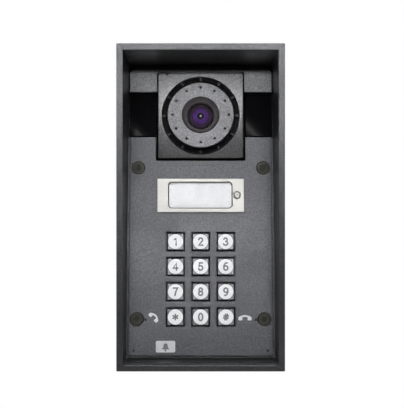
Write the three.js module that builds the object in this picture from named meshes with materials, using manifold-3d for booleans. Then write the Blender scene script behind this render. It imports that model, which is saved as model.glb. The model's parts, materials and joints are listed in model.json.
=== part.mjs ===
// Door intercom panel: a hooded metal housing for a wall, with a sloping front plate that carries a
// camera, two dark light windows, a name-plate call button and a twelve-key pad, and the electronics
// behind it. Millimetres, +Z up, +X to the right, the front faces -Y. The origin is the centre of the
// flat back face, which lies against the wall.

import * as THREE from 'three';
import { mergeVertices } from 'three/addons/utils/BufferGeometryUtils.js';
import Module from 'manifold-3d';

const wasm = await Module();
wasm.setup();

// ---------------------------------------------------------------------------------------------
// Driving dimensions
// ---------------------------------------------------------------------------------------------

const GAP = 0.3;                 // running and assembly gap between neighbours
const OVER = 1;                  // how far a cutter runs past what it cuts
const BURY = 2;                  // how far a joined piece is buried in its neighbour

// Housing
const WIDTH = 109;
const HEIGHT = 212;
const DEPTH = 83;
const SIDE_WALL = 4.25;
const TOP_WALL = 4.3;
const BOTTOM_WALL = 5.1;
const BACK_WALL = 3;
const HOOD_DRAFT_DEG = 2;        // the underside of the hood falls towards the wall
const RIM_CHAMFER = 1.4;         // along the lower inner edge of the rim
const RIM_CORNER = 2.2;          // the two lower inner corners
const OUTER_CORNER = 0.8;

// Sloping panel: local x runs right, local y up the slope, local z out of the panel
const PANEL_TILT_DEG = 8;
const PANEL_DEPTH = 33.7;        // behind the rim, at mid height
const PLATE_THICKNESS = 2.5;
const PLATE_HALF = 48.8;
const PLATE_BOTTOM = -100.3;
const PLATE_TOP = 49.2;
const PLATE_CORNER = 2.3;
const STRIP_HALF = 49.5;
const STRIP_BOTTOM = 81.3;
const STRIP_TOP = 97;
const STRIP_CORNER = 2.5;
const STRIP_BRIDGE = 1.85;       // the narrow band of the strip above the camera
const CAMERA_NOTCH_HALF = 30.7;
const CAMERA_NOTCH_BOTTOM = 32.6;
const GASKET_THICKNESS = 1;
const GASKET_OPENING_HALF = 35;
const GASKET_OPENING_BOTTOM = -90;

// Ledges, pillars and standoffs inside the housing
const LEDGE_INNER = 46.6;
const LEDGE_DEPTH = 4.4;
const PILLAR_RADIUS = 4.2;
const BOARD_STANDOFF_RADIUS = 3;
const BOARD_STANDOFF_LENGTH = 9;

// Panel screws
const SCREW_X = 43;
const SCREW_ROWS = [27.5, -76];
const COUNTERSINK_RADIUS = 4.65;
const SCREW_HEAD_RADIUS = 4.05;
const SCREW_HEAD_SUNK = 0.2;
const SCREW_SHANK_RADIUS = 1.9;
const SCREW_LENGTH = 13;

// Light windows beside the camera
const WINDOW_INNER = 30.9;
const WINDOW_OUTER = 49.7;
const WINDOW_BOTTOM = 49.8;
const WINDOW_TOP = 80.8;
const WINDOW_RECESS = 1.2;
const WINDOW_THICKNESS = 2;

// Camera
const CAMERA_HEIGHT = 63.45;     // above the centre of the housing
const CAMERA_DEPTH = 40;         // its square face, behind the rim
const BEZEL_SIDE = 59;
const BEZEL_CORNER = 1;
const ROUND = 32;                // sides of the camera's large rounds
const BEZEL_DOME = 1.4;          // how far the middle of the face would stand forward
const BEZEL_DOME_RADIUS = 300;
const BEZEL_LENGTH = 16;
const SKIRT_SIDE = 1.9;          // a skirt at the back of the bezel closes the gap round it
const SKIRT_BELOW = 3;
const SKIRT_FRONT = -13.5;
const RING_RADIUS = 26.7;
const RIB_COUNT = 12;
const RIB_WIDTH = 1.6;
const DISC_RADIUS = 23;
const DISC_RIM = 2;              // height of the disc's straight edge above the bezel
const DISC_CROWN = 1.7;
const PINHOLE_CIRCLE = 19.3;
const PINHOLE_RADIUS = 0.75;
const BARREL_RADIUS = 12.4;
const LENS_RADIUS = 8.9;
const LENS_CURVE = 14;

// Keys
const KEY_COLUMNS = [-17, 0, 17];
const KEY_TOP_ROW = -23.6;
const KEY_PITCH = 16.95;
const KEY_OPENING = 13.3;
const KEY_SIDE = 12.5;
const KEY_FACE = 11.3;
const KEY_FLANGE = 14.6;
const KEY_DRAFT = 0.3;           // a cast key's sides lean in by half of this
const KEY_SHOULDER = -0.9;       // the straight part ends below the face of the plate
const KEY_HEIGHT = 0.6;
const KEY_LENS_RADIUS = 5.1;
const KEY_LENS_PROUD = 0.5;
const KEY_TRAVEL = 1.2;
const STEM_RADIUS = 2.2;
const STEM_END = -8;
const KEY_NAMES = [['1', '2', '3'], ['4', '5', '6'], ['7', '8', '9'], ['star', '0', 'hash']];

// Call button: the name plate itself is pressed
const CALL_Y = 7.9;
const CALL_WIDTH = 59.3;
const CALL_HEIGHT = 23.2;
const CALL_PROUD = 2.5;
const CALL_WINDOW_X = -0.25;
const CALL_WINDOW_Y = 8.2;
const CALL_WINDOW_WIDTH = 43.7;
const CALL_WINDOW_HEIGHT = 18.3;
const CALL_WINDOW_CORNER = 2.4;
const CALL_LIP = 0.6;
const CALL_OVERLAP = 0.6;        // the name plate covers the edge of its opening by this much
const CALL_TRAVEL = 1;
const CALL_SCREW_X = 24.9;
const CALL_SCREW_Y = 8.1;
const CALL_SCREW_RADIUS = 2.5;

// Boards
const BOARD_THICKNESS = 1.6;
const SWITCH_SIDE = 6;
const SWITCH_HEIGHT = 1.5;
const MAIN_BOARD_HALF = 35;
const MAIN_BOARD_BOTTOM = -92;
const MAIN_BOARD_TOP = 6;

// Small openings
const PORT_RADIUS = 0.65;
const MICROPHONE_X = 36.95;
const MICROPHONE_Y = -76.3;
const MICROPHONE_RADIUS = 1.5;
const WEEP_X = 44.9;
const WEEP_Y = -96.7;
const CABLE_ENTRY_Z = 24;
const CABLE_ENTRY_RADIUS = 10;
const WALL_HOLE_RADIUS = 2.75;
const WALL_HOLE_X = 38;
const WALL_HOLE_ROWS = [84, -92];
const DRAIN_RADIUS = 2;
const DRAIN_X = 40;
const DRAIN_DEPTH = 20;          // from the wall

// Levels worked out from the above, on the panel's local z
const PLATE_BACK = -PLATE_THICKNESS;
const GASKET_FRONT = PLATE_BACK - GAP;
const GASKET_BACK = GASKET_FRONT - GASKET_THICKNESS;
const LEDGE_TOP = GASKET_BACK - GAP;
const FLANGE_FRONT = PLATE_BACK - 0.4;
const FLANGE_BACK = FLANGE_FRONT - 1.5;
const SWITCH_TOP = STEM_END - KEY_TRAVEL - GAP;
const KEYPAD_BOARD_FRONT = SWITCH_TOP - SWITCH_HEIGHT;
const WINDOW_BACK = -WINDOW_RECESS - WINDOW_THICKNESS;
const TRAY_FRONT = WINDOW_BACK - GAP;
const TRAY_BACK = TRAY_FRONT - 2.2;
const UPPER_LEDGE_TOP = TRAY_BACK - GAP;

const PANEL_Y = PANEL_DEPTH - DEPTH;
const CAMERA_Y = CAMERA_DEPTH - DEPTH;
const DEG = Math.PI / 180;
const UPRIGHT = 90 * DEG;
const SLOPE = (90 - PANEL_TILT_DEG) * DEG;

// ---------------------------------------------------------------------------------------------
// Materials
// ---------------------------------------------------------------------------------------------

function finish(color, roughness, metalness = 0, opacity = 1) {
  return new THREE.MeshStandardMaterial({ color, roughness, metalness, opacity, transparent: opacity < 1 });
}

const MATERIAL = {
  housing: finish(0x4a4c50, 0.55, 0.2),
  plate: finish(0x55575b, 0.55, 0.2),
  bezel: finish(0x8b8c8f, 0.45, 0.4),
  disc: finish(0x96979a, 0.45, 0.4),
  blackPlastic: finish(0x151517, 0.5),
  window: finish(0x08080a, 0.08),
  lens: finish(0x2b1b4a, 0.05, 0, 0.6),
  key: finish(0xb9babd, 0.25, 0.9),
  keyLens: finish(0xf2f3f6, 0.35),
  steel: finish(0xd2cfc9, 0.35, 0.9),
  screw: finish(0x55534c, 0.4, 0.8),
  clear: finish(0xeef2f6, 0.05, 0, 0.35),
  label: finish(0xf2f4f8, 0.8),
  rubber: finish(0x1a1a1b, 0.9),
  board: finish(0x1f5a38, 0.5),
  speaker: finish(0x2a2b2d, 0.6, 0.5),
  cone: finish(0x1c1b1a, 0.9),
  magnet: finish(0x6b6d70, 0.4, 0.8),
  socket: finish(0xb4b6b9, 0.35, 0.8),
  terminal: finish(0x2f7a4a, 0.6),
};

// ---------------------------------------------------------------------------------------------
// Shapes
// ---------------------------------------------------------------------------------------------

/** A rectangle with its own radius at the lower and the upper corners, from arcs. */
function rectangle(x0, y0, x1, y1, lower = 0, upper = lower, Kind = THREE.Shape) {
  const shape = new Kind();
  shape.moveTo(x0 + lower, y0);
  shape.lineTo(x1 - lower, y0);
  if (lower > 0) shape.absarc(x1 - lower, y0 + lower, lower, -UPRIGHT, 0);
  shape.lineTo(x1, y1 - upper);
  if (upper > 0) shape.absarc(x1 - upper, y1 - upper, upper, 0, UPRIGHT);
  shape.lineTo(x0 + upper, y1);
  if (upper > 0) shape.absarc(x0 + upper, y1 - upper, upper, UPRIGHT, 2 * UPRIGHT);
  shape.lineTo(x0, y0 + lower);
  if (lower > 0) shape.absarc(x0 + lower, y0 + lower, lower, 2 * UPRIGHT, 3 * UPRIGHT);
  return shape;
}

/** A closed outline through the given points. */
function outline(points) {
  return new THREE.Shape(points.map(([x, y]) => new THREE.Vector2(x, y)));
}

/** A flat piece of the given outline between two levels. */
function slab(shape, z0, z1, curveSegments = 3) {
  const geometry = new THREE.ExtrudeGeometry(shape, { depth: z1 - z0, bevelEnabled: false, curveSegments });
  return geometry.translate(0, 0, z0);
}

/** A block between two corners. */
function block(x0, y0, z0, x1, y1, z1) {
  const geometry = new THREE.BoxGeometry(x1 - x0, y1 - y0, z1 - z0);
  return geometry.translate((x0 + x1) / 2, (y0 + y1) / 2, (z0 + z1) / 2);
}

/** A round bar or cone along z, with its centre at x, y. */
function drum(x, y, z0, z1, radius, frontRadius = radius, segments = 16) {
  const geometry = new THREE.CylinderGeometry(frontRadius, radius, z1 - z0, segments);
  return geometry.rotateX(UPRIGHT).translate(x, y, (z0 + z1) / 2);
}

/** A square block that narrows from one side length to another. */
function taper(x, y, z0, z1, side, frontSide) {
  const geometry = new THREE.CylinderGeometry(frontSide / Math.SQRT2, side / Math.SQRT2, z1 - z0, 4);
  return geometry.rotateY(45 * DEG).rotateX(UPRIGHT).translate(x, y, (z0 + z1) / 2);
}

/** A turned piece about z, from a profile of [radius, z] that runs anticlockwise. */
function turned(profile, segments = 24) {
  const points = profile.map(([radius, z]) => new THREE.Vector2(radius, z));
  return new THREE.LatheGeometry(points, segments).rotateX(UPRIGHT);
}

// ---------------------------------------------------------------------------------------------
// Cutting and joining
// ---------------------------------------------------------------------------------------------

/** The solid of a closed geometry: only positions, shared corners merged, slivers at an axis dropped. */
function solid(geometry) {
  const bare = geometry.clone();
  bare.deleteAttribute('normal');
  bare.deleteAttribute('uv');
  const merged = mergeVertices(bare, 1e-4);
  const corners = merged.index.array;
  const kept = [];
  for (let i = 0; i < corners.length; i += 3) {
    const [a, b, c] = [corners[i], corners[i + 1], corners[i + 2]];
    if (a !== b && b !== c && c !== a) kept.push(a, b, c);
  }
  return new wasm.Manifold(new wasm.Mesh({
    numProp: 3,
    vertProperties: new Float32Array(merged.attributes.position.array),
    triVerts: new Uint32Array(kept),
  }));
}

function join(...geometries) {
  return geometries.map(solid).reduce((whole, next) => whole.add(next));
}

function cut(whole, ...geometries) {
  return geometries.map(solid).reduce((rest, next) => rest.subtract(next), whole);
}

function surface(whole) {
  const mesh = whole.getMesh();
  const geometry = new THREE.BufferGeometry();
  geometry.setAttribute('position', new THREE.BufferAttribute(mesh.vertProperties, 3));
  geometry.setIndex(new THREE.BufferAttribute(mesh.triVerts, 1));
  geometry.computeVertexNormals();
  return geometry;
}

function add(group, name, geometry, material) {
  const mesh = new THREE.Mesh(geometry, material);
  mesh.name = name;
  group.add(mesh);
}

/** A group whose local x stays right, turned about x and placed in the housing. */
function place(angle, y, z) {
  const group = new THREE.Group();
  group.rotation.x = angle;
  group.position.set(0, y, z);
  group.updateMatrix();
  return group;
}

const intercom = new THREE.Group();
const wall = place(UPRIGHT, 0, 0);                     // local z is the distance from the wall
const panel = place(SLOPE, PANEL_Y, 0);                // local z stands out of the sloping panel
const bezelSeat = place(UPRIGHT, CAMERA_Y, CAMERA_HEIGHT);
const lensSeat = place(SLOPE, CAMERA_Y, CAMERA_HEIGHT); // looks up a little, square to the panel
intercom.add(wall, panel, bezelSeat, lensSeat);

const inPanel = (geometry) => geometry.applyMatrix4(panel.matrix);
const inWall = (geometry) => geometry.applyMatrix4(wall.matrix);

const SIDES = [['left', -1], ['right', 1]];
const corners = (xs, ys) => xs.flatMap((x) => ys.map((y) => [x, y]));
const SCREW_PLACES = corners([-SCREW_X, SCREW_X], SCREW_ROWS);
const KEY_PLACES = KEY_NAMES.flatMap((names, row) => names.map((name, column) => ({
  name, x: KEY_COLUMNS[column], y: KEY_TOP_ROW - row * KEY_PITCH,
})));

// ---------------------------------------------------------------------------------------------
// Housing
// ---------------------------------------------------------------------------------------------

/** The hollow of the housing, open at the front: its side profile within its front outline. */
function hollow() {
  const top = HEIGHT / 2 - TOP_WALL;
  const floor = BOTTOM_WALL - HEIGHT / 2;
  const reach = DEPTH - BACK_WALL;
  const drop = Math.tan(HOOD_DRAFT_DEG * DEG);
  const side = outline([
    [BACK_WALL, floor], [DEPTH - RIM_CHAMFER, floor], [DEPTH + OVER, floor - RIM_CHAMFER - OVER],
    [DEPTH + OVER, top + drop * OVER], [BACK_WALL, top - drop * reach],
  ]);
  const half = WIDTH / 2;
  const run = slab(side, -half, half).rotateX(UPRIGHT).rotateZ(-UPRIGHT);
  const inner = half - SIDE_WALL;
  const front = rectangle(-inner, floor - RIM_CHAMFER, inner, HEIGHT / 2, RIM_CORNER, 0);
  return solid(run).intersect(solid(inWall(slab(front, BACK_WALL - OVER, DEPTH + OVER))));
}

/** Ledges that the gasket and the trays lie on, below the given level of the panel. */
function ledges() {
  const far = WIDTH / 2 - SIDE_WALL + BURY;
  const lowEnd = PLATE_BOTTOM - BURY * 2;
  const highEnd = STRIP_TOP + BURY * 3;
  const lower = LEDGE_TOP - LEDGE_DEPTH;
  const upper = UPPER_LEDGE_TOP - LEDGE_DEPTH;
  const sides = SIDES.flatMap(([, s]) => {
    const [x0, x1] = [s * LEDGE_INNER, s * far].sort((a, b) => a - b);
    return [
      block(x0, lowEnd, lower, x1, PLATE_TOP, LEDGE_TOP),
      block(x0, PLATE_TOP - OVER, upper, x1, highEnd, UPPER_LEDGE_TOP),
    ];
  });
  const bottom = block(-far, lowEnd, lower, far, PLATE_BOTTOM + 2.7, LEDGE_TOP);
  const top = block(-far, STRIP_TOP - 1.1, upper, far, highEnd, UPPER_LEDGE_TOP);
  return [...sides, bottom, top].map(inPanel);
}

/** Pillars under the panel screws, from the back wall to the ledge's level. */
function pillars() {
  return SCREW_PLACES.map(([x, y]) => {
    const tilt = PANEL_TILT_DEG * DEG;
    const length = (-PANEL_Y - y * Math.sin(tilt) - BACK_WALL / 2) / Math.cos(tilt);
    return inPanel(drum(x, y, -length, LEDGE_TOP, PILLAR_RADIUS));
  });
}

function standoffs() {
  const length = BACK_WALL + BOARD_STANDOFF_LENGTH;
  return corners([-31, 31], [MAIN_BOARD_TOP - 4, MAIN_BOARD_BOTTOM + 4])
    .map(([x, z]) => inWall(drum(x, z, BACK_WALL / 2, length, BOARD_STANDOFF_RADIUS, undefined, 12)));
}

function housing() {
  const half = [WIDTH / 2, HEIGHT / 2];
  const envelope = () => slab(rectangle(-half[0], -half[1], half[0], half[1], OUTER_CORNER), 0, DEPTH, 2);
  const shell = solid(inWall(envelope())).subtract(hollow());
  const inside = slab(rectangle(1 - half[0], 1 - half[1], half[0] - 1, half[1] - 1), 1, DEPTH - 1);
  const fittings = join(...ledges(), ...pillars(), ...standoffs()).intersect(solid(inWall(inside)));
  const threads = SCREW_PLACES.map(([x, y]) => (
    inPanel(drum(x, y, -SCREW_LENGTH - 3, 0, SCREW_SHANK_RADIUS + GAP))
  ));
  const wallHoles = corners([-WALL_HOLE_X, WALL_HOLE_X], WALL_HOLE_ROWS)
    .map(([x, z]) => inWall(drum(x, z, -OVER, BACK_WALL + OVER, WALL_HOLE_RADIUS)));
  const entry = inWall(drum(0, CABLE_ENTRY_Z, -OVER, BACK_WALL + OVER, CABLE_ENTRY_RADIUS, undefined, 24));
  const drains = [-DRAIN_X, DRAIN_X].map((x) => (
    drum(x, -DRAIN_DEPTH, -HEIGHT / 2 - OVER, -HEIGHT / 2 + BOTTOM_WALL + OVER, DRAIN_RADIUS)
  ));
  return cut(shell.add(fittings), ...threads, ...wallHoles, entry, ...drains);
}

add(intercom, 'housing', surface(housing()), MATERIAL.housing);

// A rubber grommet with a closed membrane, ready to be pierced by the cable
const neck = CABLE_ENTRY_RADIUS - GAP;
const flangeFace = BACK_WALL + GAP;
add(wall, 'cable_grommet', turned([
  [0, 1.2], [5, 1.2], [6.5, 0.4], [neck, 0.4], [neck, flangeFace], [neck + 3, flangeFace],
  [neck + 3, flangeFace + 1.6], [6, flangeFace + 2.6], [4.6, 2.4], [0, 2.4],
]).translate(0, CABLE_ENTRY_Z, 0), MATERIAL.rubber);

// ---------------------------------------------------------------------------------------------
// Front plate, strip, gasket and panel screws
// ---------------------------------------------------------------------------------------------

function frontPlate() {
  const sheet = slab(
    rectangle(-PLATE_HALF, PLATE_BOTTOM, PLATE_HALF, PLATE_TOP, PLATE_CORNER, 0.3), PLATE_BACK, 0,
  );
  const posts = corners([-30.5, 30.5], [24.2, -86])
    .map(([x, y]) => drum(x, y, KEYPAD_BOARD_FRONT + GAP, PLATE_BACK + OVER, 2, undefined, 8));
  const below = PLATE_BACK - OVER;
  const through = (shape) => slab(shape, below, OVER, 1);
  const half = KEY_OPENING / 2;
  const keyOpenings = KEY_PLACES.map(({ x, y }) => (
    through(rectangle(x - half, y - half, x + half, y + half, 0.5))
  ));
  const [w, h] = [CALL_WIDTH / 2 - CALL_OVERLAP, CALL_HEIGHT / 2 - CALL_OVERLAP];
  const callOpening = through(rectangle(-w, CALL_Y - h, w, CALL_Y + h, 0.5));
  const notch = through(
    rectangle(-CAMERA_NOTCH_HALF, CAMERA_NOTCH_BOTTOM, CAMERA_NOTCH_HALF, PLATE_TOP + OVER, 0.8, 0),
  );
  const shankRoom = SCREW_SHANK_RADIUS + GAP;
  const countersinks = SCREW_PLACES.flatMap(([x, y]) => [
    drum(x, y, shankRoom - COUNTERSINK_RADIUS, 0, shankRoom, COUNTERSINK_RADIUS),
    drum(x, y, below, -OVER, shankRoom),
  ]);
  const ports = [[MICROPHONE_X, MICROPHONE_Y], [WEEP_X, WEEP_Y]]
    .flatMap(([x, y]) => [-x, x].map((side) => drum(side, y, below, OVER, PORT_RADIUS, undefined, 8)));
  return cut(join(sheet, ...posts), ...keyOpenings, callOpening, notch, ...countersinks, ...ports);
}

add(panel, 'front_plate', surface(frontPlate()), MATERIAL.plate);

function topStrip() {
  const sheet = slab(
    rectangle(-STRIP_HALF, STRIP_BOTTOM, STRIP_HALF, STRIP_TOP, 0.3, STRIP_CORNER), PLATE_BACK, 0,
  );
  const half = CAMERA_NOTCH_HALF - 0.2;
  const notch = rectangle(-half, STRIP_BOTTOM - OVER, half, STRIP_TOP - STRIP_BRIDGE, 0, 0.5);
  return cut(solid(sheet), slab(notch, PLATE_BACK - OVER, OVER));
}

add(panel, 'top_strip', surface(topStrip()), MATERIAL.plate);

function gasket() {
  const [edge, mouth] = [PLATE_HALF - 0.5, GASKET_OPENING_HALF];
  const [low, high] = [PLATE_BOTTOM + 0.5, PLATE_TOP - 0.5];
  const sheet = slab(outline([
    [-edge, low], [edge, low], [edge, high], [mouth, high], [mouth, GASKET_OPENING_BOTTOM],
    [-mouth, GASKET_OPENING_BOTTOM], [-mouth, high], [-edge, high],
  ]), GASKET_BACK, GASKET_FRONT);
  const [below, above] = [GASKET_BACK - OVER, GASKET_FRONT + OVER];
  const screwHoles = SCREW_PLACES.map(([x, y]) => (
    drum(x, y, below, above, SCREW_SHANK_RADIUS + 2 * GAP, undefined, 12)
  ));
  const boots = [-MICROPHONE_X, MICROPHONE_X].map((x) => (
    drum(x, MICROPHONE_Y, below, above, MICROPHONE_RADIUS + GAP, undefined, 12)
  ));
  const weeps = [-WEEP_X, WEEP_X].map((x) => drum(x, WEEP_Y, below, above, 1, undefined, 8));
  return cut(solid(sheet), ...screwHoles, ...boots, ...weeps);
}

add(panel, 'plate_gasket', surface(gasket()), MATERIAL.rubber);

/** A countersunk security screw: a six-sided socket with a pin left standing in it. */
function panelScrew(x, y) {
  const face = -SCREW_HEAD_SUNK;
  const cone = SCREW_HEAD_RADIUS - SCREW_SHANK_RADIUS;
  const body = solid(turned([
    [0, -SCREW_LENGTH], [SCREW_SHANK_RADIUS - 0.5, -SCREW_LENGTH],
    [SCREW_SHANK_RADIUS, -SCREW_LENGTH + 1], [SCREW_SHANK_RADIUS, face - cone],
    [SCREW_HEAD_RADIUS, face], [0, face],
  ], 16));
  const socket = drum(0, 0, face - 1.5, face + OVER, 2.1, undefined, 6);
  const pin = drum(0, 0, face - 2, face - 0.3, 0.7, undefined, 8);
  return surface(cut(body, socket).add(solid(pin))).translate(x, y, 0);
}

const ROW_WORDS = ['top', 'bottom'];
for (const [word, s] of SIDES) {
  SCREW_ROWS.forEach((y, row) => {
    add(panel, `panel_screw_${ROW_WORDS[row]}_${word}`, panelScrew(s * SCREW_X, y), MATERIAL.screw);
  });
}

// ---------------------------------------------------------------------------------------------
// Light windows, their trays and light boards, mirrored about the middle
// ---------------------------------------------------------------------------------------------

function spanAt(s, near, far) {
  return s > 0 ? [near, far] : [-far, -near];
}

function lightWindow(s) {
  const [x0, x1] = spanAt(s, WINDOW_INNER, WINDOW_OUTER);
  return slab(rectangle(x0, WINDOW_BOTTOM, x1, WINDOW_TOP, 0.4), WINDOW_BACK, -WINDOW_RECESS, 2);
}

function lightTray(s) {
  const wallThickness = 1.3;
  const pocket = { near: 33.2, far: 44.8, bottom: 52.8, top: 78.2, floor: -12.8 };
  const [x0, x1] = spanAt(s, WINDOW_INNER, WINDOW_OUTER - 0.1);
  const [p0, p1] = spanAt(s, pocket.near, pocket.far);
  const flange = block(x0, WINDOW_BOTTOM + 0.1, TRAY_BACK, x1, STRIP_TOP - 0.4, TRAY_FRONT);
  const rise = block(x0, STRIP_BOTTOM + 0.2, TRAY_FRONT - OVER, x1, STRIP_TOP - 0.6, GASKET_FRONT);
  const box = block(
    p0 - wallThickness, pocket.bottom - wallThickness, pocket.floor - wallThickness,
    p1 + wallThickness, pocket.top + wallThickness, TRAY_BACK + OVER,
  );
  const inside = block(p0, pocket.bottom, pocket.floor, p1, pocket.top, OVER);
  return cut(join(flange, rise, box), inside);
}

function lightBoard(s) {
  const front = -11.2;
  const [x0, x1] = spanAt(s, 33.6, 44.4);
  const lamps = corners([-2.8, 2.8], [-9, -3, 3, 9])
    .map(([dx, dy]) => drum((x0 + x1) / 2 + dx, 65.5 + dy, front - 0.2, front + 2.6, 1.5, 1.1, 8));
  return join(block(x0, 53.2, front - 1.2, x1, 77.8, front), ...lamps);
}

for (const [word, s] of SIDES) {
  add(panel, `light_window_${word}`, lightWindow(s), MATERIAL.window);
  add(panel, `light_tray_${word}`, surface(lightTray(s)), MATERIAL.blackPlastic);
  add(panel, `light_board_${word}`, surface(lightBoard(s)), MATERIAL.board);
}

// ---------------------------------------------------------------------------------------------
// Camera: an upright square bezel, and a round core that looks up a little
// ---------------------------------------------------------------------------------------------

const RIB_INNER = DISC_RADIUS + 0.9;
const HUB_OUTER = DISC_RADIUS - 0.1;
const HUB_INNER = 19.5;
const HUB_FRONT = -9;
const HUB_BACK = -14;
const BORE_RADIUS = RING_RADIUS - GAP;

/** A square block with a slightly domed face. */
function domedBlock() {
  const half = BEZEL_SIDE / 2;
  const reach = BEZEL_SIDE * 0.75;
  const steps = 3;
  const profile = [[0, -BEZEL_LENGTH - OVER], [reach, -BEZEL_LENGTH - OVER]];
  for (let i = steps; i >= 0; i -= 1) {
    const radius = (reach * i) / steps;
    const fall = BEZEL_DOME_RADIUS - Math.sqrt(BEZEL_DOME_RADIUS ** 2 - radius ** 2);
    profile.push([radius, BEZEL_DOME - fall]);
  }
  const square = slab(rectangle(-half, -half, half, half, BEZEL_CORNER), -BEZEL_LENGTH, 3, 1);
  return solid(turned(profile, 32)).intersect(solid(square));
}

/** One rib of the sound slot, from the bezel's bore in to the hub. */
function rib(index) {
  const [half, angle] = [RIB_WIDTH / 2, (index * 2 * Math.PI) / RIB_COUNT];
  const outer = BORE_RADIUS + BURY / 2;
  return [
    block(RIB_INNER, -half, HUB_BACK, outer, half, -1),
    block(HUB_OUTER - 1, -half, HUB_BACK, outer, half, HUB_FRONT),
  ].map((piece) => piece.rotateZ(angle));
}

function bezel() {
  const bore = drum(0, 0, -BEZEL_LENGTH - OVER, 3, BORE_RADIUS, undefined, ROUND);
  const flare = drum(0, 0, -2, BEZEL_DOME, BORE_RADIUS, RING_RADIUS + 0.4, ROUND);
  const hub = [[HUB_INNER, HUB_BACK], [HUB_OUTER, HUB_BACK], [HUB_OUTER, HUB_FRONT],
    [HUB_INNER, HUB_FRONT], [HUB_INNER, HUB_BACK]];
  const ribs = Array.from({ length: RIB_COUNT }, (_, index) => rib(index)).flat();
  const half = BEZEL_SIDE / 2;
  const skirt = block(
    -half - SKIRT_SIDE, -half - SKIRT_BELOW, -BEZEL_LENGTH, half + SKIRT_SIDE, half, SKIRT_FRONT,
  );
  const body = domedBlock().add(solid(skirt));
  return cut(body, bore, flare).add(join(turned(hub, ROUND), ...ribs));
}

add(bezelSeat, 'camera_bezel', surface(bezel()), MATERIAL.bezel);

const SLEEVE_BORE = BARREL_RADIUS + GAP;
const SLEEVE_BACK = -10;

/** Small round bars at the places of the disc's pinholes, to cut with or to keep as lamps. */
function ringOfBars(z0, z1, radius) {
  return Array.from({ length: RIB_COUNT }, (_, i) => {
    const angle = (i * 2 * Math.PI) / RIB_COUNT;
    return drum(PINHOLE_CIRCLE * Math.cos(angle), PINHOLE_CIRCLE * Math.sin(angle), z0, z1, radius,
      undefined, 6);
  });
}

function cameraDisc() {
  const sleeve = SLEEVE_BORE + 1.6;
  const back = -0.5;
  const crownAt = (radius) => DISC_RIM + DISC_CROWN * (1 - (radius / DISC_RADIUS) ** 2);
  const crown = [22.4, 19.3, 16, SLEEVE_BORE].map((radius) => [radius, crownAt(radius)]);
  const profile = [[SLEEVE_BORE, SLEEVE_BACK], [sleeve, SLEEVE_BACK], [sleeve, back], [DISC_RADIUS, back],
    [DISC_RADIUS, DISC_RIM - 0.4], ...crown, [SLEEVE_BORE, SLEEVE_BACK]];
  return cut(solid(turned(profile, ROUND)), ...ringOfBars(back - OVER, 5, PINHOLE_RADIUS));
}

add(lensSeat, 'camera_disc', surface(cameraDisc()), MATERIAL.disc);

function lampRing() {
  const [front, thickness] = [-3.3, 1.2];
  const ring = [[15, front - thickness], [22, front - thickness], [22, front], [15, front],
    [15, front - thickness]];
  return join(turned(ring, 24), ...ringOfBars(front - 0.4, front + 2.1, 0.9));
}

add(lensSeat, 'camera_lamp_ring', surface(lampRing()), MATERIAL.board);

const BARREL_BACK = -9.5;
const LENS_SEAT_RADIUS = LENS_RADIUS + GAP;
const LENS_BACK = -5.2;
add(lensSeat, 'lens_barrel', turned([
  [4, BARREL_BACK], [BARREL_RADIUS, BARREL_BACK], [BARREL_RADIUS, 2.6], [BARREL_RADIUS - 0.4, 2.8],
  [11.2, 1.6], [11.2, 1], [10.4, 0.2], [10.4, -0.4], [LENS_SEAT_RADIUS, -1.2],
  [LENS_SEAT_RADIUS, LENS_BACK - GAP], [4, LENS_BACK - GAP], [4, BARREL_BACK],
], 24), MATERIAL.blackPlastic);

/** A flat-backed lens with a domed front. */
function lensProfile() {
  const steps = 4;
  const rise = (radius) => Math.sqrt(LENS_CURVE ** 2 - radius ** 2) - LENS_CURVE - 1;
  const profile = [[0, LENS_BACK], [LENS_RADIUS, LENS_BACK]];
  for (let i = steps; i >= 0; i -= 1) {
    const radius = (LENS_RADIUS * i) / steps;
    profile.push([radius, rise(radius)]);
  }
  return profile;
}

add(lensSeat, 'lens_glass', turned(lensProfile(), 24), MATERIAL.lens);

add(lensSeat, 'camera_board', surface(join(
  drum(0, 0, -12.6, -11.1, 15.5, undefined, 20),
  block(-4.5, -4.5, -11.2, 4.5, 4.5, -10.1),
)), MATERIAL.board);

// The loudspeaker sits behind the camera and sounds through the ribbed slot round the disc
add(bezelSeat, 'speaker_basket', turned([
  [0, -30.8], [15.2, -30.8], [15.2, -28.6], [23.5, -19.6], [26, -19.6], [26, -18], [22.2, -18],
  [22.2, -19.2], [14, -28.2], [14, -29.6], [0, -29.6],
]), MATERIAL.speaker);
add(bezelSeat, 'speaker_cone', turned([
  [0, -26.4], [6.5, -26.4], [20.6, -19.3], [21.7, -19.3], [21.7, -18.6], [20.4, -18.6],
  [6.5, -25.7], [4, -24.2], [0, -23.6],
]), MATERIAL.cone);
add(bezelSeat, 'speaker_magnet', turned([
  [0, -38], [12.5, -38], [14, -37], [14, -31.1], [0, -31.1],
], 20), MATERIAL.magnet);

// ---------------------------------------------------------------------------------------------
// Keys: a tapered metal cap with a round light lens, a flange that holds it in, and a stem
// ---------------------------------------------------------------------------------------------

function keyCap({ x, y }) {
  const cap = join(
    taper(x, y, FLANGE_BACK + 0.5, KEY_SHOULDER, KEY_SIDE + KEY_DRAFT, KEY_SIDE),
    taper(x, y, KEY_SHOULDER, KEY_HEIGHT, KEY_SIDE, KEY_FACE),
    taper(x, y, FLANGE_BACK, FLANGE_FRONT, KEY_FLANGE, KEY_FLANGE - KEY_DRAFT),
    drum(x, y, STEM_END, FLANGE_BACK + 0.5, STEM_RADIUS, undefined, 8),
  );
  return cut(cap, drum(x, y, KEY_HEIGHT - 1, KEY_HEIGHT + OVER, KEY_LENS_RADIUS + GAP, undefined, 20));
}

function keyLens({ x, y }) {
  const [bottom, face] = [KEY_HEIGHT - 1 + GAP, KEY_HEIGHT + KEY_LENS_PROUD];
  return drum(x, y, bottom, face, KEY_LENS_RADIUS, undefined, 20);
}

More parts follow.
